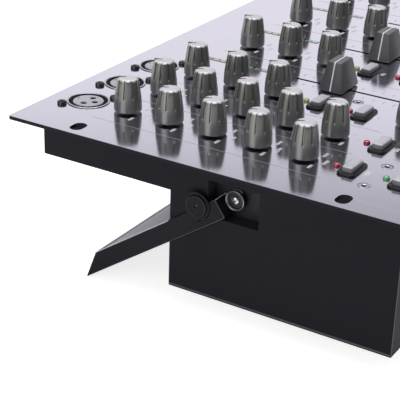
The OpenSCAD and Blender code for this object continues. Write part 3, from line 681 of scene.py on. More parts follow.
    def fit(self, body: str, slot: str, *nodes: str) -> None:
        """Puts the finished piece on its body.

        Args:
            body: The body that carries it.
            slot: The record's material slot; not used.
            nodes: Nodes of the frame that it stands for.
        """
        piece = self.obj
        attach(piece, body)
        if nodes:
            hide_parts(*nodes)
        LOG.info("%s: %d faces on %s", piece.name, len(piece.data.polygons), body)


@dataclass
class Layout:
    """Where things stand, in millimetres."""

    panel_w: float = 482.6
    panel_d: float = 221.5
    top: float = 88.8
    first_col: float = -201.3
    col_pitch: float = 33.5
    first_channel: float = -134.1
    channel_pitch: float = 62.2
    fader_dx: float = 28.4
    first_row: float = 46.0
    row_pitch: float = 25.4
    socket_d: float = 21.0
    # Bases of the feet, and the height that they carry the desk at
    foot_x: float = 188.8
    foot_y: Flat = (-81.75, 5.75)
    foot_top: float = 10.5
    # The bracket's pivot and lock screws, across a side wall
    pivot: Flat = (-10.25, 65.4)
    lock: Flat = (7.12, 60.56)

    def spot(self, x: float, d: float, z: float = 0.0) -> Point:
        """A point on the panel, its depth counted from the rear edge."""
        return (x, self.panel_d / 2 - d, self.top + z)

    def col(self, i: int) -> float:
        """Place of a column of the first section."""
        return self.first_col + i * self.col_pitch

    def channel(self, n: int) -> float:
        """Place of a channel's knobs."""
        return self.first_channel + n * self.channel_pitch

    def row(self, r: int) -> float:
        """Depth of a row."""
        return self.first_row + r * self.row_pitch

    def knobs(self) -> list[tuple[str, float, float, str]]:
        """Name, place and word of each knob."""
        mic = ("LEVEL", "HIGH", "MID", "LOW", "PAN")
        line = ("GAIN", "HIGH", "LOW")
        return ([(f"mic_knob_{i + 1}_{r + 1}", self.col(i), self.row(r), mic[r])
                 for i in range(2) for r in range(5)]
                + [(f"channel_{n + 1}_knob_{r + 1}", self.channel(n), self.row(r), line[r])
                   for n in range(4) for r in range(3)]
                + [("phones_knob", self.channel(0), self.row(5), "PHONES"),
                   ("master_knob", -self.col(1), self.row(4), "MASTER"),
                   ("booth_knob", -self.col(0), self.row(4), "BOOTH")])

    def buttons(self) -> list[tuple[str, float, float, str, Glow]]:
        """Name, place, word and lamp colour of each button."""
        mic = [("mic_button_1", self.col(0), self.row(5), "ON", Glow.RED),
               ("mic_button_2", self.col(1), self.row(5), "ON", Glow.RED),
               ("mic_button_3", self.col(0), self.row(6), "TALK", Glow.GREEN)]
        pair = (("EQ", Glow.LIME), ("CUE", Glow.RED))
        return mic + [(f"channel_{n + 1}_button_{r + 1}", self.channel(n), self.row(3 + r),
                       *pair[r]) for n in range(4) for r in range(2)]

    def sockets(self) -> list[float]:
        """Places of the round sockets."""
        return [self.col(0), self.col(1), self.channel(0)]

    def faders(self) -> list[float]:
        """Places of the channel faders."""
        return [self.channel(n) + self.fader_dx for n in range(4)]

    def feet(self) -> list[Flat]:
        """Middle of each foot."""
        return [(s * self.foot_x, y) for s in (-1, 1) for y in self.foot_y]


@dataclass
class Panel:
    """The top panel and what is printed on it."""

    at: Layout
    edge: float = 0.22
    ink: float = 0.03
    line_w: float = 0.3
    # Middle's depth and length of the lines by the first section and by the channels
    first_lines: Flat = (100.5, 129)
    channel_lines: Flat = (94, 116)
    # Fader scale: gap from the middle, first mark, pitch, width, long and short mark
    scale: tuple[float, ...] = (5.2, 95, 6, 0.4, 4.0, 2.6)
    # Each kind of word: height of its letters, and its place from the control
    knob_word: Point = (1.9, 0.4, 11.6)
    ends: tuple[tuple[str, Point], ...] = (("MIN", (1.7, -7.9, 7.4)), ("MAX", (1.7, 8.4, 7.6)))
    button_word: Point = (2.0, 0.4, 8.0)
    socket_word: Point = (2.2, 12.5, 10.0)

    def build(self) -> None:
        """Makes the plate and its printing."""
        at = self.at
        half_w, half_d = at.panel_w / 2 - NEAR, at.panel_d / 2 - NEAR
        plate = Piece.cleaned("top_panel", "panel_plate")
        with plate.shaping():
            plate.pick("EDGE", lambda p, way: p.z > at.top - NEAR
                       and (abs(p.x) > half_w or abs(p.y) > half_d))
            bpy.ops.mesh.bevel(offset=self.edge * MM, segments=2, affect="EDGES")
        plate.smooth(5).dress(Shade.PANEL, Shade.PANEL_EDGE)
        plate.paint(1, lambda p, n: n.z < 0.5).fit("mixer", "panel", "top_panel")
        for name, marks, finish in (("panel_lines", self.lines(), Shade.LINE),
                                    ("panel_words", self.words(), Shade.INK)):
            Piece.joined(name, marks).dress(finish).fit("mixer", "panel")

    def bar(self, x: float, d: float, w: float, length: float) -> Piece:
        """One printed bar, from its middle, its width and its length in depth."""
        piece = Piece.stacked("bar", [(w, length, -0.02), (w, length, self.ink)])
        return piece.place(self.at.spot(x, d))

    def lines(self) -> list[Piece]:
        """Lines between the sections, and the faders' scales.

        Returns:
            The lines.
        """
        at = self.at
        first, between = self.first_lines, self.channel_lines
        xs = [at.col(0) - 16.5, at.col(0) + 16.8, at.col(1) + 16.8]
        marks = [self.bar(x, first[0], self.line_w, first[1]) for x in xs]
        marks += [self.bar(at.channel(n) - 16.9, between[0], self.line_w, between[1])
                  for n in range(1, 4)]
        gap, start, pitch, w, major, minor = self.scale
        for x in at.faders():
            for k in range(11):
                long = minor if k % 5 else major
                marks += [self.bar(x + side * (gap + long / 2), start + pitch * k, long, w)
                          for side in (-1, 1)]
        return marks

    def word(self, text: str, x: float, d: float, kind: Point) -> Piece:
        """A word of one kind by a control at a place."""
        height, dx, dd = kind
        return Piece.lettering(text, height, self.at.spot(x + dx, d + dd, self.ink))

    def words(self) -> list[Piece]:
        """Numbers and plain words by the controls.

        Returns:
            The words.
        """
        marks = []
        for _, x, d, text in self.at.knobs():
            marks.append(self.word(text, x, d, self.knob_word))
            marks += [self.word(end, x, d, kind) for end, kind in self.ends]
        for _, x, d, text, _ in self.at.buttons():
            marks.append(self.word(text, x, d, self.button_word))
        for number, x in enumerate(self.at.sockets(), 1):
            marks.append(self.word(str(number), x, self.at.socket_d, self.socket_word))
        return marks


@dataclass
class Knobs:
    """The fluted knobs."""

    at: Layout
    flutes: int = 10
    # Faces to a flute, of which three are sunk
    steps: int = 14
    depth: float = 0.72
    # Radius that the depth is measured at
    waist: float = 6.2
    turn: float = 18.0
    # Lowest and highest corner of each band, and its share of the depth
    bands: tuple[Point, ...] = ((8.3, 8.9, 0.55), (8.9, 17.2, 1.0), (17.2, 17.7, 1.0),
                                (17.7, 18.0, 0.95), (18.0, 18.2, 0.8), (18.2, 18.4, 0.5))
    # Lowest height of the upward faces that get the painted highlight of the top
    bright_from: float = 17.45
    # Radius and height from the shaft's end to the top
    outline: tuple[Flat, ...] = (
        (2.45, -6.0), (2.45, 1.05), (6.85, 1.05), (7.15, 1.3), (7.2, 1.9), (7.16, 3.5),
        (7.05, 5.6), (6.93, 7.6), (6.86, 8.2), (6.80, 8.6), (6.72, 9.2), (6.55, 10.4),
        (6.34, 11.9), (6.10, 13.5), (5.86, 15.1), (5.64, 16.4), (5.50, 17.0), (5.32, 17.5),
        (5.06, 17.9), (4.72, 18.17), (4.30, 18.33), (3.4, 18.48), (1.6, 18.6), (0.5, 18.64))

    def pattern(self) -> Piece:
        """One knob at the origin, with its pointer.

        Returns:
            The knob.
        """
        count = self.flutes * self.steps
        knob = Piece.turned("knob", self.outline, count)
        bites = {0: 1.0, 1: 0.9, self.steps - 1: 0.9}
        with knob.shaping():
            for low, high, share in self.bands:
                for phase, bite in bites.items():
                    def sunk(p: Vector, _: Vector) -> bool:
                        """Says whether a corner lies in a flute."""
                        turn = math.degrees(math.atan2(p.y, p.x)) / (360 / count)
                        return (low < p.z < high and reach(p) > 4
                                and round(turn) % self.steps == phase)
                    knob.pick("VERT", sunk)
                    k = 1 - self.depth * share * bite / self.waist
                    bpy.ops.transform.resize(value=(k, k, 1), center_override=(0, 0, 0))
        knob.dress(Shade.KNOB, Shade.KNOB_TOP)
        # Upward faces near the top get the lighter finish: painted highlight
        knob.paint(1, lambda p, n: p.z > self.bright_from and n.z > 0.3).smooth(45)
        pointer = Piece.stacked("pointer", [
            (0.75, 4.6, 17.5), (0.75, 4.6, 18.55), (0.6, 4.4, 18.69)])
        pointer.place((0, 3.0, 0)).dress(Shade.POINTER)
        return Piece.joined("knob_pattern", [knob, pointer])

    def build(self) -> None:
        """Makes every knob from one pattern."""
        pattern = self.pattern()
        for name, x, d, _ in self.at.knobs():
            piece = pattern.twin(name + "_skin", self.at.spot(x, d), (0, 0, self.turn))
            piece.fit(name, "knob", name)
        Piece.drop(pattern)


@dataclass
class Buttons:
    """The push buttons, their bezels and their lamps."""

    at: Layout
    lamp_dy: float = 8.0

    def build(self) -> None:
        """Makes the three patterns and their copies."""
        bezel = Piece.stacked("bezel", [
            (16.8, 8.6, -2.6), (16.8, 8.6, 0.0), (18.0, 9.3, 0.0), (18.0, 9.3, 0.7),
            (17.3, 8.6, 1.2), (14.2, 6.5, 1.2), (13.6, 6.2, 0.7), (13.6, 6.2, -2.6)], 2.2, 5, True)
        bezel.rounded(0.15, 25).dress(Shade.BEZEL)
        cap = Piece.stacked("cap", [
            (12.9, 5.5, -2.3), (13.0, 5.6, 0.8), (12.8, 5.45, 2.9), (12.5, 5.15, 3.3),
            (11.9, 4.6, 3.56), (10.8, 3.6, 3.7), (9.2, 2.2, 3.78)], 0.8, 3)
        # Faces that don't face up get the darker finish: painted shade
        cap.smooth(35).dress(Shade.CAP, Shade.CAP_SIDE).paint(1, lambda p, n: n.z < 0.5)
        lamp = Piece.turned("lamp", [
            (1.2, -6.5), (1.2, -0.3), (1.7, -0.2), (1.7, 0.55), (1.62, 0.85), (1.42, 1.16),
            (1.1, 1.4), (0.65, 1.57), (0.2, 1.63)], 24).smooth(40)
        for name, x, d, _, glow in self.at.buttons():
            spot = self.at.spot(x, d)
            bezel.twin(name + "_bezel", spot).fit("mixer", "black_plastic", "button_bezels")
            cap.twin(name + "_cap", spot).fit(name, "button", name)
            piece = lamp.twin(name + "_lamp", self.at.spot(x, d - self.lamp_dy))
            piece.dress(glow.value).fit("mixer", "lamp", "indicator_lamps")
        Piece.drop(bezel, cap, lamp)


@dataclass
class Faders:
    """The fader caps on their levers."""

    at: Layout
    set_d: float = 119.0
    cross: Flat = (-26.6, 190.0)
    line: float = 0.42

    def pattern(self) -> Piece:
        """One cap for travel along the depth, with its inlaid line.

        Returns:
            The cap.
        """
        cap = Piece.stacked("fader_cap", [
            (20.2, 13.2, 0.5), (21.0, 14.0, 1.1), (20.6, 13.6, 2.4), (18.6, 12.1, 6.0),
            (16.6, 10.6, 10.0), (14.6, 9.1, 14.0), (13.4, 8.2, 16.2), (12.4, 7.2, 16.5)], 0.5, 2)
        with cap.shaping():
            for side in (-1, 1):
                cap.slice((0, side * self.line, 0), (0, 1, 0))
            cap.pick("FACE", lambda p, n: abs(p.y) < self.line and p.z > 1.0)
            bpy.ops.mesh.inset(thickness=0.0, depth=-0.12 * MM)
        cap.dress(Shade.FADER, Shade.INK).paint(
            1, lambda p, n: abs(p.y) < self.line * 0.9 and p.z > 1.0 and abs(n.y) < 0.7)
        lever = Piece.stacked("lever", [(1.2, 3.0, -7.0), (1.2, 3.0, 0.6)])
        return Piece.joined("fader_pattern", [cap.smooth(24), lever.dress(Shade.STEEL)])

    def build(self) -> None:
        """Makes the channel faders and the crossfader."""
        pattern = self.pattern()
        for number, x in enumerate(self.at.faders(), 1):
            name = f"channel_{number}_fader"
            piece = pattern.twin(name + "_cap", self.at.spot(x, self.set_d))
            piece.fit(name, "fader_cap", name)
        piece = pattern.twin("crossfader_cap", self.at.spot(*self.cross), (0, 0, 90))
        piece.fit("crossfader", "fader_cap", "crossfader")
        Piece.drop(pattern)


@dataclass
class RoundSockets:
    """The three-pole sockets on the panel."""

    at: Layout
    floor: float = -19.9
    # Radius that the pin holes and the key stand at
    pins: float = 4.2
    key: float = 6.3

    def insert(self) -> Piece:
        """The light insert in a near-black seat of painted shade, with three pin holes bored in
        it.

        Returns:
            The insert.
        """
        body = Piece.turned("insert", [
            (9.6, self.floor), (9.85, -0.3), (9.7, 0.0), (8.0, 0.0), (7.8, 0.05), (7.75, 0.25),
            (7.5, 0.38)], 72)
        tools = []
        for a in map(math.radians, (0, 180, 270)):
            drill = Piece.turned("drill", [(0.9, -9.0), (1.6, -8.6), (1.6, -0.1), (2.1, 0.8)],
                                 24)
            tools.append(drill.place((self.pins * math.cos(a), self.pins * math.sin(a), 0)))
        key = Piece.stacked("key", [(2.2, 1.0, 0.0), (2.2, 1.0, 0.8)], 0.3, 2)
        for tool in (*tools, key.place((0, self.key, 0))):
            body.cut(tool)
        body.dress(Shade.INSERT, Shade.SEAT)
        # The ring round the insert and the insides of its holes get the near-black finish: painted
        # shade
        return body.paint(1, lambda p, n: reach(p) > 7.9 or p.z < -0.2).smooth(30)

    def build(self) -> None:
        """Makes the shells and the inserts."""
        shell = Piece.turned("shell", [
            (10.0, -21.4), (10.7, -21.2), (10.7, 0.0), (11.35, 0.0), (11.35, 0.3), (11.2, 0.42),
            (10.4, 0.42), (10.25, 0.3), (10.2, -0.1), (9.95, -0.4), (9.95, -21.0)], 96, True)
        shell.dress(Shade.RING, Shade.BLACK)
        # The rim's outer and inner walls, and all below the panel, are painted black: painted
        # shade
        shell.paint(1, lambda p, n: n.z < 0.3 or p.z < 0.02).rounded(0.08, 35)
        insert = self.insert()
        for number, x in enumerate(self.at.sockets(), 1):
            spot = self.at.spot(x, self.at.socket_d)
            shell.twin(f"socket_shell_{number}", spot).fit("mixer", "bright_metal", "xlr_shells")
            insert.twin(f"socket_insert_{number}", spot).fit("mixer", "insert_grey",
                                                             "xlr_inserts")
        Piece.drop(shell, insert)


@dataclass
class Screws:
    """Pan-head, countersunk and side screws."""

    at: Layout
    # From a round socket's middle to its screws
    socket_dx: float = 10.8
    socket_dd: float = 9.0
    # Countersunk screws: places and depth of the outer ones, from a channel to the inner ones
    flat_x: Flat = (214.1, 188.2)
    flat_d: float = 185.0
    channel_flat: Flat = (14.9, 137.4)
    # Base screws, and the mains inlet's screws either side of its middle
    base_x: float = 217.8
    base_y: Point = (-93.75, -38.0, 17.75)
    inlet: Point = (189.6, 104.45, 75.35)
    inlet_dx: float = 26.8
    # Where the pivot and lock screws start, to the side
    pivot_x: float = 218.1
    lock_x: float = 225.9

    def cross_head(self) -> Piece:
        """A pan head with a cross recess, standing on the ground plane.

        Returns:
            The screw.
        """
        head = Piece.turned("pan", [
            (1.4, -6.0), (1.5, 0.0), (2.5, 0.0), (2.5, 1.0), (2.25, 1.45), (1.6, 1.6),
            (0.3, 1.6)], 32)
        for turn in (45, 135):
            blade = Piece.stacked("cross", [(0.3, 0.1, 0.2), (3.2, 0.75, 1.7)])
            head.cut(blade.place((0, 0, 0), (0, 0, turn)))
        return head.dress(Shade.GLOSS_BLACK).smooth(30)

    def flush_head(self) -> Piece:
        """A countersunk head, a little below the panel, with a socket for its key.

        Returns:
            The screw.
        """
        head = Piece.turned("flush", [
            (1.4, -7.5), (1.5, -1.75), (2.95, -0.3), (2.95, -0.06), (2.85, 0.0), (1.35, 0.0),
            (1.15, -0.12), (1.1, -1.2), (0.3, -1.5)], 48)
        # A dark ring in the gap round the head: painted shade
        gap = Piece.turned("gap", [(2.96, -0.2), (3.1, -0.2), (3.1, 0.02), (2.96, 0.02)], 48,
                           True)
        head.smooth().dress(Shade.SCREW, Shade.BLACK)
        # The key socket is painted black: painted shade in the recess
        head.paint(1, lambda p, n: reach(p) < 1.17 and p.z > -1.6)
        return Piece.joined("flush", [head, gap.dress(Shade.GAP)])

    def build(self) -> None:
        """Makes every small screw from two patterns."""
        at, pan, flush = self.at, self.cross_head(), self.flush_head()
        places: list[tuple[Piece, Point, Point]] = []
        for x in at.sockets():
            places += [(pan, at.spot(x - s * self.socket_dx, at.socket_d - s * self.socket_dd),
                        (0, 0, 20 * s)) for s in (-1, 1)]
        flats = [(s * x, self.flat_d) for x in self.flat_x for s in (-1, 1)]
        flats += [(at.channel(n) + self.channel_flat[0], self.channel_flat[1])
                  for n in range(4)]
        places += [(flush, at.spot(x, d), NO_TURN) for x, d in flats]
        x, y, z = self.inlet
        for s in (-1, 1):
            places += [(pan, (s * self.base_x, base_y, at.foot_top), (180, 0, 0))
                       for base_y in self.base_y]
            places.append((pan, (x + s * self.inlet_dx, y, z), (-90, 0, 0)))
        for number, (pattern, spot, turn) in enumerate(places, 1):
            piece = pattern.twin(f"screw_{number}", spot, turn)
            piece.fit("mixer", "dark_screw", "machine_screws")
        Piece.drop(pan, flush)
        self.feet_screws()
        self.side_screws()

    def feet_screws(self) -> None:
        """Screws in the recesses of the feet."""
        pattern = Piece.turned("foot_screw", [
            (1.2, 2.4), (1.5, 3.4), (3.4, 3.4), (3.8, 3.8), (3.8, 6.0), (1.9, 6.0),
            (1.9, 14.0)], 32)
        pattern.smooth().dress(Shade.DARK_STEEL)
        for number, (x, y) in enumerate(self.at.feet(), 1):
            piece = pattern.twin(f"foot_screw_{number}", (x, y, 0))
            piece.fit("mixer", "dark_screw", "machine_screws")
        Piece.drop(pattern)

    def side_screws(self) -> None:
        """The pivot and lock screws of the bracket, on both sides."""
        pivot = Piece.turned("pivot", [
            (2.0, -8.5), (3.0, -4.2), (3.0, -0.4), (5.3, -0.3), (5.3, 0.9), (5.15, 1.3),
            (4.85, 1.5), (4.55, 1.3), (4.3, 0.7), (3.9, 0.3), (2.4, 0.2), (2.2, 0.5),
            (2.05, 1.0), (1.6, 1.4), (1.0, 1.6), (0.3, 1.65)], 64)
        for turn in (20, 110):
            blade = Piece.stacked("blade", [(0.3, 0.2, 0.0), (3.0, 0.7, 1.8)])
            pivot.cut(blade.place((0, 0, 0), (0, 0, turn)))
        pivot.smooth(30).dress(Shade.BLACK, Shade.PIVOT_RING, Shade.STEEL)
        # The rim's crest gets the lighter metal: painted highlight
        pivot.paint(1, lambda p, n: reach(p) > 4.4 and p.z > 0.6)
        # The middle dome gets bright steel: painted glint
        pivot.paint(2, lambda p, n: reach(p) < 2.15 and p.z > 0.4)
        lock = Piece.turned("lock", [
            (2.45, -5.5), (2.45, 0.0), (7.4, 0.0), (7.4, 0.12), (5.7, 0.14), (5.7, 0.65),
            (5.55, 0.9), (5.3, 1.0), (5.05, 0.92), (4.9, 0.8), (0.9, 0.8), (0.75, 0.65),
            (0.55, 0.1), (0.2, 0.0)], 64)
        lock.smooth(30).dress(Shade.BRACKET, Shade.BEZEL, Shade.DARK_STEEL)
        lock.paint(1, lambda p, n: 5.0 < reach(p) < 5.6 and p.z > 0.6)
        lock.paint(2, lambda p, n: reach(p) < 0.6)
        for s, side in ((-1, "left"), (1, "right")):
            for key, pattern, x, spot in (("pivot", pivot, self.pivot_x, self.at.pivot),
                                          ("lock", lock, self.lock_x, self.at.lock)):
                piece = pattern.twin(f"{key}_screw_{side}", (s * x, *spot), (0, s * 90, 0))
                piece.fit("mixer", "bright_screw", "bracket_screws")
        Piece.drop(pivot, lock)


@dataclass
class Feet:
    """The rubber feet."""

    at: Layout
    gap: float = 0.1

    def build(self) -> None:
        """Turns one foot and copies it."""
        top = self.at.foot_top - self.gap
        foot = Piece.turned("foot", [
            (4.7, 0.2), (5.2, 0.0), (7.9, 0.0), (8.6, 0.35), (8.8, 1.2), (9.1, 3.0), (9.6, 6.5),
            (9.85, 9.6), (9.8, top), (2.2, top), (2.2, 6.0), (4.6, 6.0)], 64, True)
        foot.smooth(30).dress(Shade.RUBBER)
        for number, (x, y) in enumerate(self.at.feet(), 1):
            foot.twin(f"foot_{number}", (x, y, 0)).fit("mixer", "rubber", "rubber_feet")
        Piece.drop(foot)


@dataclass
class Housing:
    """The sheet-metal chassis and the folding support bracket."""

    at: Layout
    edge: float = 0.3
    # Slope of the bracket; how far short of its end, at the bend, the plate's painted reflection
    # stops; and how far out from the pivot, past where the chassis hides the arms, the painted
    # highlight on their top edges starts
    slope: float = 35.0
    bend: float = 8.0
    bare: float = 38.0
    # Inner faces of the arms, and the ring of the pivot's eye, which is drawn smaller
    arm_x: float = 222.0
    eye: Flat = (6.2, 7.4)
    eye_reach: float = 4.5
    shrink: float = 0.72
    # Where the recess in each side wall lies, to the side and about the pivot
    recess_x: Flat = (205.0, 223.5)
    recess_half: float = 16.0
    recess_z: float = 50.0

    def build(self) -> None:
        """Softens the edges of the chassis, its base plate and the bracket, and paints highlights
        on edges and fill light in the side recesses.
        """
        low, high = self.recess_x
        for node in ("chassis_shell", "base_plate"):
            piece = Piece.softened(node, self.edge)
            piece.dress(Shade.CHASSIS, Shade.RUBBED, Shade.POCKET)
            # Bevelled edges low on the side walls get a painted highlight
            piece.paint(1, lambda p, n: max(map(abs, n)) < 0.96 and abs(p.x) > self.arm_x
                        and p.z < self.recess_z)
            # The walls of the side recesses get the lighter coat: painted fill light where shade
            # falls
            piece.paint(2, lambda p, n: low < abs(p.x) < high and p.z > self.recess_z
                        and abs(p.y - self.at.pivot[0]) < self.recess_half)
            piece.fit("mixer", "chassis", node)
        self.bracket()

    def bracket(self) -> None:
        """The bracket, with a painted reflection on its plate that stops short of the bend at its
        end, and painted highlights on its edges.
        """
        piece = Piece.softened("support_bracket", self.edge)
        mesh, a = piece.obj.data, math.radians(self.slope)
        out = Vector((0.0, math.cos(a), -math.sin(a)))
        (y, z), (lock_y, lock_z) = self.at.pivot, self.at.lock
        start = out.dot(Vector((0.0, y, z)))
        end = max(out.dot(mesh.vertices[i].co) for face in mesh.polygons
                  if face.normal.z > 0.75 for i in face.vertices) / MM - self.bend
        with piece.shaping():
            for level in (end, start + self.bare):
                piece.slice(out * level, out)
            low, high = self.eye
            piece.pick("VERT", lambda p, _: abs(p.x) < self.arm_x
                       and low < math.hypot(p.y - y, p.z - z) < high
                       and out.dot(p) < start + self.eye_reach)
            bpy.ops.transform.resize(value=(1, self.shrink, self.shrink),
                                     center_override=(0, y * MM, z * MM))
        piece.dress(Shade.BRACKET, Shade.BRACKET_FACE, Shade.RUBBED, Shade.BRIGHT_EDGE)
        # The plate's upward faces, short of its end, get the pale painted reflection
        piece.paint(1, lambda p, n: n.z > 0.75 and abs(p.x) < 224 and out.dot(p) < end)
        # Bevels on the arms' outer sides, away from the lock screw, get a painted highlight
        piece.paint(2, lambda p, n: 0.25 < abs(n.x) < 0.97 and abs(p.x) > 223
                    and (n.z < 0.3 or out.dot(p) < start + 8)
                    and math.hypot(p.y - lock_y, p.z - lock_z) > 9)
        # The upper bevels of the arms, out past the chassis, get a near-white painted highlight
        piece.paint(3, lambda p, n: 0.25 < abs(n.x) < 0.97 and n.z > 0.3
                    and out.dot(p) > start + self.bare)
        piece.fit("support_bracket", "chassis", "support_bracket")


@dataclass
class Meters:
    """Level meters behind dark windows."""

    at: Layout
    end: float = 75.3
    length: float = 45.0
    main_length: float = 90.0
    main_x: float = 184.55
    main_dx: float = 4.81
    cell_pitch: float = 4.5

    def build(self) -> None:
        """Makes the windows and their rows of lamps."""
        start = self.end - self.length
        bars = [(x, self.length) for x in self.at.faders()]
        bars += [(self.main_x + s * self.main_dx, self.main_length) for s in (-1, 1)]
        for number, (x, length) in enumerate(bars, 1):
            window = Piece.stacked("window", [
                (3.7, length, -6.5), (3.7, length, 0.1),
                (3.4, length - 0.3, 0.2)]).dress(Shade.WINDOW)
            cells = []
            count = int(length / self.cell_pitch)
            for k in range(count):
                cell = Piece.stacked("cell", [(2.4, 3.0, 0.1), (2.4, 3.0, 0.22)])
                cell.place((0, length / 2 - (k + 0.5) * length / count, 0))
                glow = Glow.RED if k < 2 else Glow.LIME if k < 4 else Glow.GREEN
                cells.append(cell.dress(glow.value))
            piece = Piece.joined(f"meter_{number}", [window, *cells])
            piece.place(self.at.spot(x, start + length / 2)).fit("mixer", "window",
                                                                 "meter_windows")


@dataclass
class Rear:
    """Sockets of the rear wall, the phones socket and the mains inlet."""

    at: Layout
    wall: float = 101.95
    mid: float = 75.35
    first: float = -114.3
    last: float = 141.9
    count: int = 20

    def build(self) -> None:
        """Makes the phono sockets, the phones socket, the inlet and its rocker."""
        self.phonos()
        jack = Piece.turned("jack", [
            (5.5, -26.0), (5.75, -25.8), (5.75, -2.0), (4.5, -2.0), (4.5, 0.0), (6.9, 0.0),
            (6.9, 1.4), (6.3, 2.0), (3.7, 2.0), (3.25, 1.6), (3.25, -24.8)])
        jack.dress(Shade.BLACK, Shade.STEEL)
        jack.paint(1, lambda p, n: p.z > -0.1 and reach(p) > 3.3).rounded(0.15, 35)
        jack.place(self.at.spot(self.at.col(1), self.at.row(6))).fit(
            "mixer", "bright_metal", "signal_sockets")
        inlet = Piece.softened("mains_inlet", 0.2).dress(Shade.BLACK, Shade.BRASS)
        inlet.paint(1, lambda p, n: 187.5 < p.x < 210.5 and 88 < p.y < 98.2
                    and abs(p.z - self.mid) < 5).fit("mixer", "black_plastic", "mains_inlet")
        rocker = Piece.softened("power_rocker", 0.25).dress(Shade.ROCKER)
        rocker.fit("power_rocker", "rocker", "power_rocker")

    def phonos(self) -> None:
        """Makes the row of phono sockets from two patterns."""
        barrel = Piece.turned("barrel", [
            (4.6, -2.0), (4.6, 0.0), (5.4, 0.0), (5.4, 0.8), (4.15, 0.8), (4.15, 7.6),
            (3.9, 8.0), (3.5, 8.0), (3.3, 7.6), (3.3, 1.0)], 32)
        collar = Piece.turned("collar", [
            (3.25, 1.0), (3.25, 6.9), (3.0, 7.2), (1.9, 7.2), (1.65, 6.8),
            (1.65, 2.0)], 32).smooth()
        barrel.smooth().dress(Shade.STEEL)
        pitch = (self.last - self.first) / (self.count - 1)
        for k in range(self.count):
            spot = (self.first + k * pitch, self.wall, self.mid)
            metal = barrel.twin("metal", spot, (-90, 0, 0))
            middle = collar.twin("middle", spot, (-90, 0, 0))
            middle.dress(Shade.RED_PLASTIC if k % 2 else Shade.WHITE_PLASTIC)
            Piece.joined(f"phono_{k + 1}", [metal, middle]).fit("mixer", "bright_metal",
                                                                "signal_sockets")
        Piece.drop(barrel, collar)


class Inner:
    """Finishes of the nodes that stay as the frame has them."""

    FINISHES: dict[str, Finish] = {
        "circuit_boards": Shade.BOARD, "rotary_pots": Shade.DARK_STEEL,
        "fader_units": Shade.STEEL, "button_switches": Shade.BLACK}

    def build(self) -> None:
        """Gives each carried-over node its material."""
        for node, finish in self.FINISHES.items():
            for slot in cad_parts[node].material_slots:
                slot.material = finish.material()
            LOG.info("%s: finished in %s", node, finish.name)


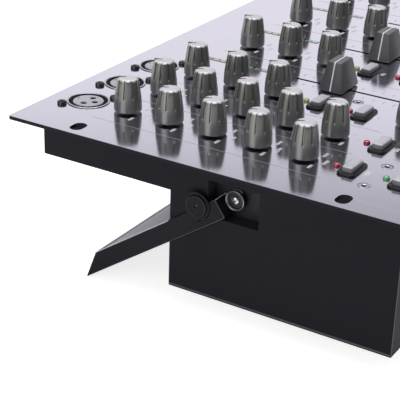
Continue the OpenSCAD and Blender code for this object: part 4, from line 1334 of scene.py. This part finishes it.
@dataclass
class Studio:
    """Camera, floor, lamps and the light all round, in metres and degrees."""

    eye: Point = (-0.70487, -0.28112, 0.33011)
    look: Point = (64.519, -1.651, -58.3365)
    lens: float = 114.780
    # Light all round, and how bright the floor glows to the eye and in gloss
    plain: float = 0.36
    floor_glow: Flat = (0.8, 0.4)

    def build(self) -> None:
        """Sets up the studio."""
        self.camera()
        self.floor()
        self.world()
        self.lamp("side", (-1.2, 0.2, 0.4), (-0.15, 0.0, 0.09), 0.7, 2.6)
        self.lamp("top", (-0.05, 0.15, 1.4), (-0.1, 0.0, 0.08), 1.1, 13.0)
        bpy.context.scene.view_settings.view_transform = "Standard"

    def camera(self) -> None:
        """Stands the camera at the viewing angle."""
        data = bpy.data.cameras.new("camera")
        data.lens, data.sensor_width, data.clip_start = self.lens, 36.0, 0.01
        eye = bpy.data.objects.new("camera", data)
        eye.location = self.eye
        eye.rotation_euler = [math.radians(v) for v in self.look]
        bpy.context.scene.collection.objects.link(eye)
        bpy.context.scene.camera = eye

    def lamp(self, name: str, at: Point, to: Point, size: float, power: float) -> None:
        """Adds one soft lamp.

        Args:
            name: Its name.
            at: Its place.
            to: The point it faces.
            size: Its side.
            power: Its power in watts.
        """
        data = bpy.data.lights.new(name, "AREA")
        data.shape, data.size, data.energy = "SQUARE", size, power
        lamp = bpy.data.objects.new(name, data)
        lamp.location = at
        lamp.rotation_euler = (Vector(to) - Vector(at)).to_track_quat("-Z", "Y").to_euler()
        bpy.context.scene.collection.objects.link(lamp)

    def floor(self) -> None:
        """Lays the pale floor."""
        bpy.ops.mesh.primitive_plane_add(size=8)
        floor = bpy.context.object
        floor.name = "floor"
        material = bpy.data.materials.new("floor_white")
        tree = Tree(material)
        colour = tree.mix(tree.noise(3.0), (0.86, 0.86, 0.87), (0.9, 0.9, 0.9))
        matt = tree.node("ShaderNodeBsdfDiffuse", None, {"Color": colour})
        eye, gloss = self.floor_glow
        glow = tree.node("ShaderNodeEmission", None, {
            "Color": WHITE, "Strength": tree.ray("Camera") * eye + tree.ray("Glossy") * gloss})
        both = tree.node("ShaderNodeAddShader", None, {0: matt, 1: glow})
        tree.node("ShaderNodeOutputMaterial", None, {"Surface": both})
        floor.data.materials.append(material)

    @staticmethod
    def ramp(tree: Tree, way: Val, axis: Point, stops: list[tuple[float, Colour]]) -> Val:
        """Colours, with their places, over how far a direction points along an axis."""
        value = tree.node("ShaderNodeVectorMath", {"operation": "DOT_PRODUCT"},
                          {0: way, 1: axis}, "Value")
        return tree.node("ShaderNodeValToRGB", {"stops": stops}, {"Fac": value}, "Color")

    def world(self) -> None:
        """White to the eye, an even light, and a softer sky for gloss."""
        world = bpy.data.worlds.new("studio")
        bpy.context.scene.world = world
        tree = Tree(world)
        way = tree.node("ShaderNodeTexCoord", out="Generated")
        up, back, black = (0.0, 0.0, 1.0), (0.85, 0.527, 0.0), (0.0, 0.0, 0.0)
        wall = self.ramp(tree, way, up, [(0.365, (1.0, 0.98, 1.0)), (0.42, (0.60, 0.59, 0.61)),
                                         (0.47, (0.32, 0.32, 0.33))])
        sky = tree.mix(self.ramp(tree, way, back, [(0.2, black), (0.65, WHITE)]),
                       (0.17, 0.17, 0.18), wall)
        sky = tree.mix(self.ramp(tree, way, up, [(0.6, black), (0.8, WHITE)]), sky,
                       (0.92, 0.92, 0.94))
        plain = (self.plain, self.plain, self.plain * 1.02)
        colour = tree.mix(tree.ray("Glossy"), plain, sky)
        colour = tree.mix(tree.ray("Camera"), colour, WHITE)
        light = tree.node("ShaderNodeBackground", None, {"Color": colour, "Strength": 1.0})
        tree.node("ShaderNodeOutputWorld", None, {"Surface": light})


def main() -> None:
    """Builds the desk and its studio in order."""
    logging.basicConfig(level=logging.INFO, format="%(name)s: %(message)s")
    at = Layout()
    for part in (Panel(at), Housing(at), Knobs(at), Buttons(at), Faders(at), RoundSockets(at),
                 Screws(at), Feet(at), Meters(at), Rear(at), Inner(), Studio()):
        LOG.info("building %s", type(part).__name__)
        part.build()
    Piece.clear()


if __name__ == "__main__":
    main()
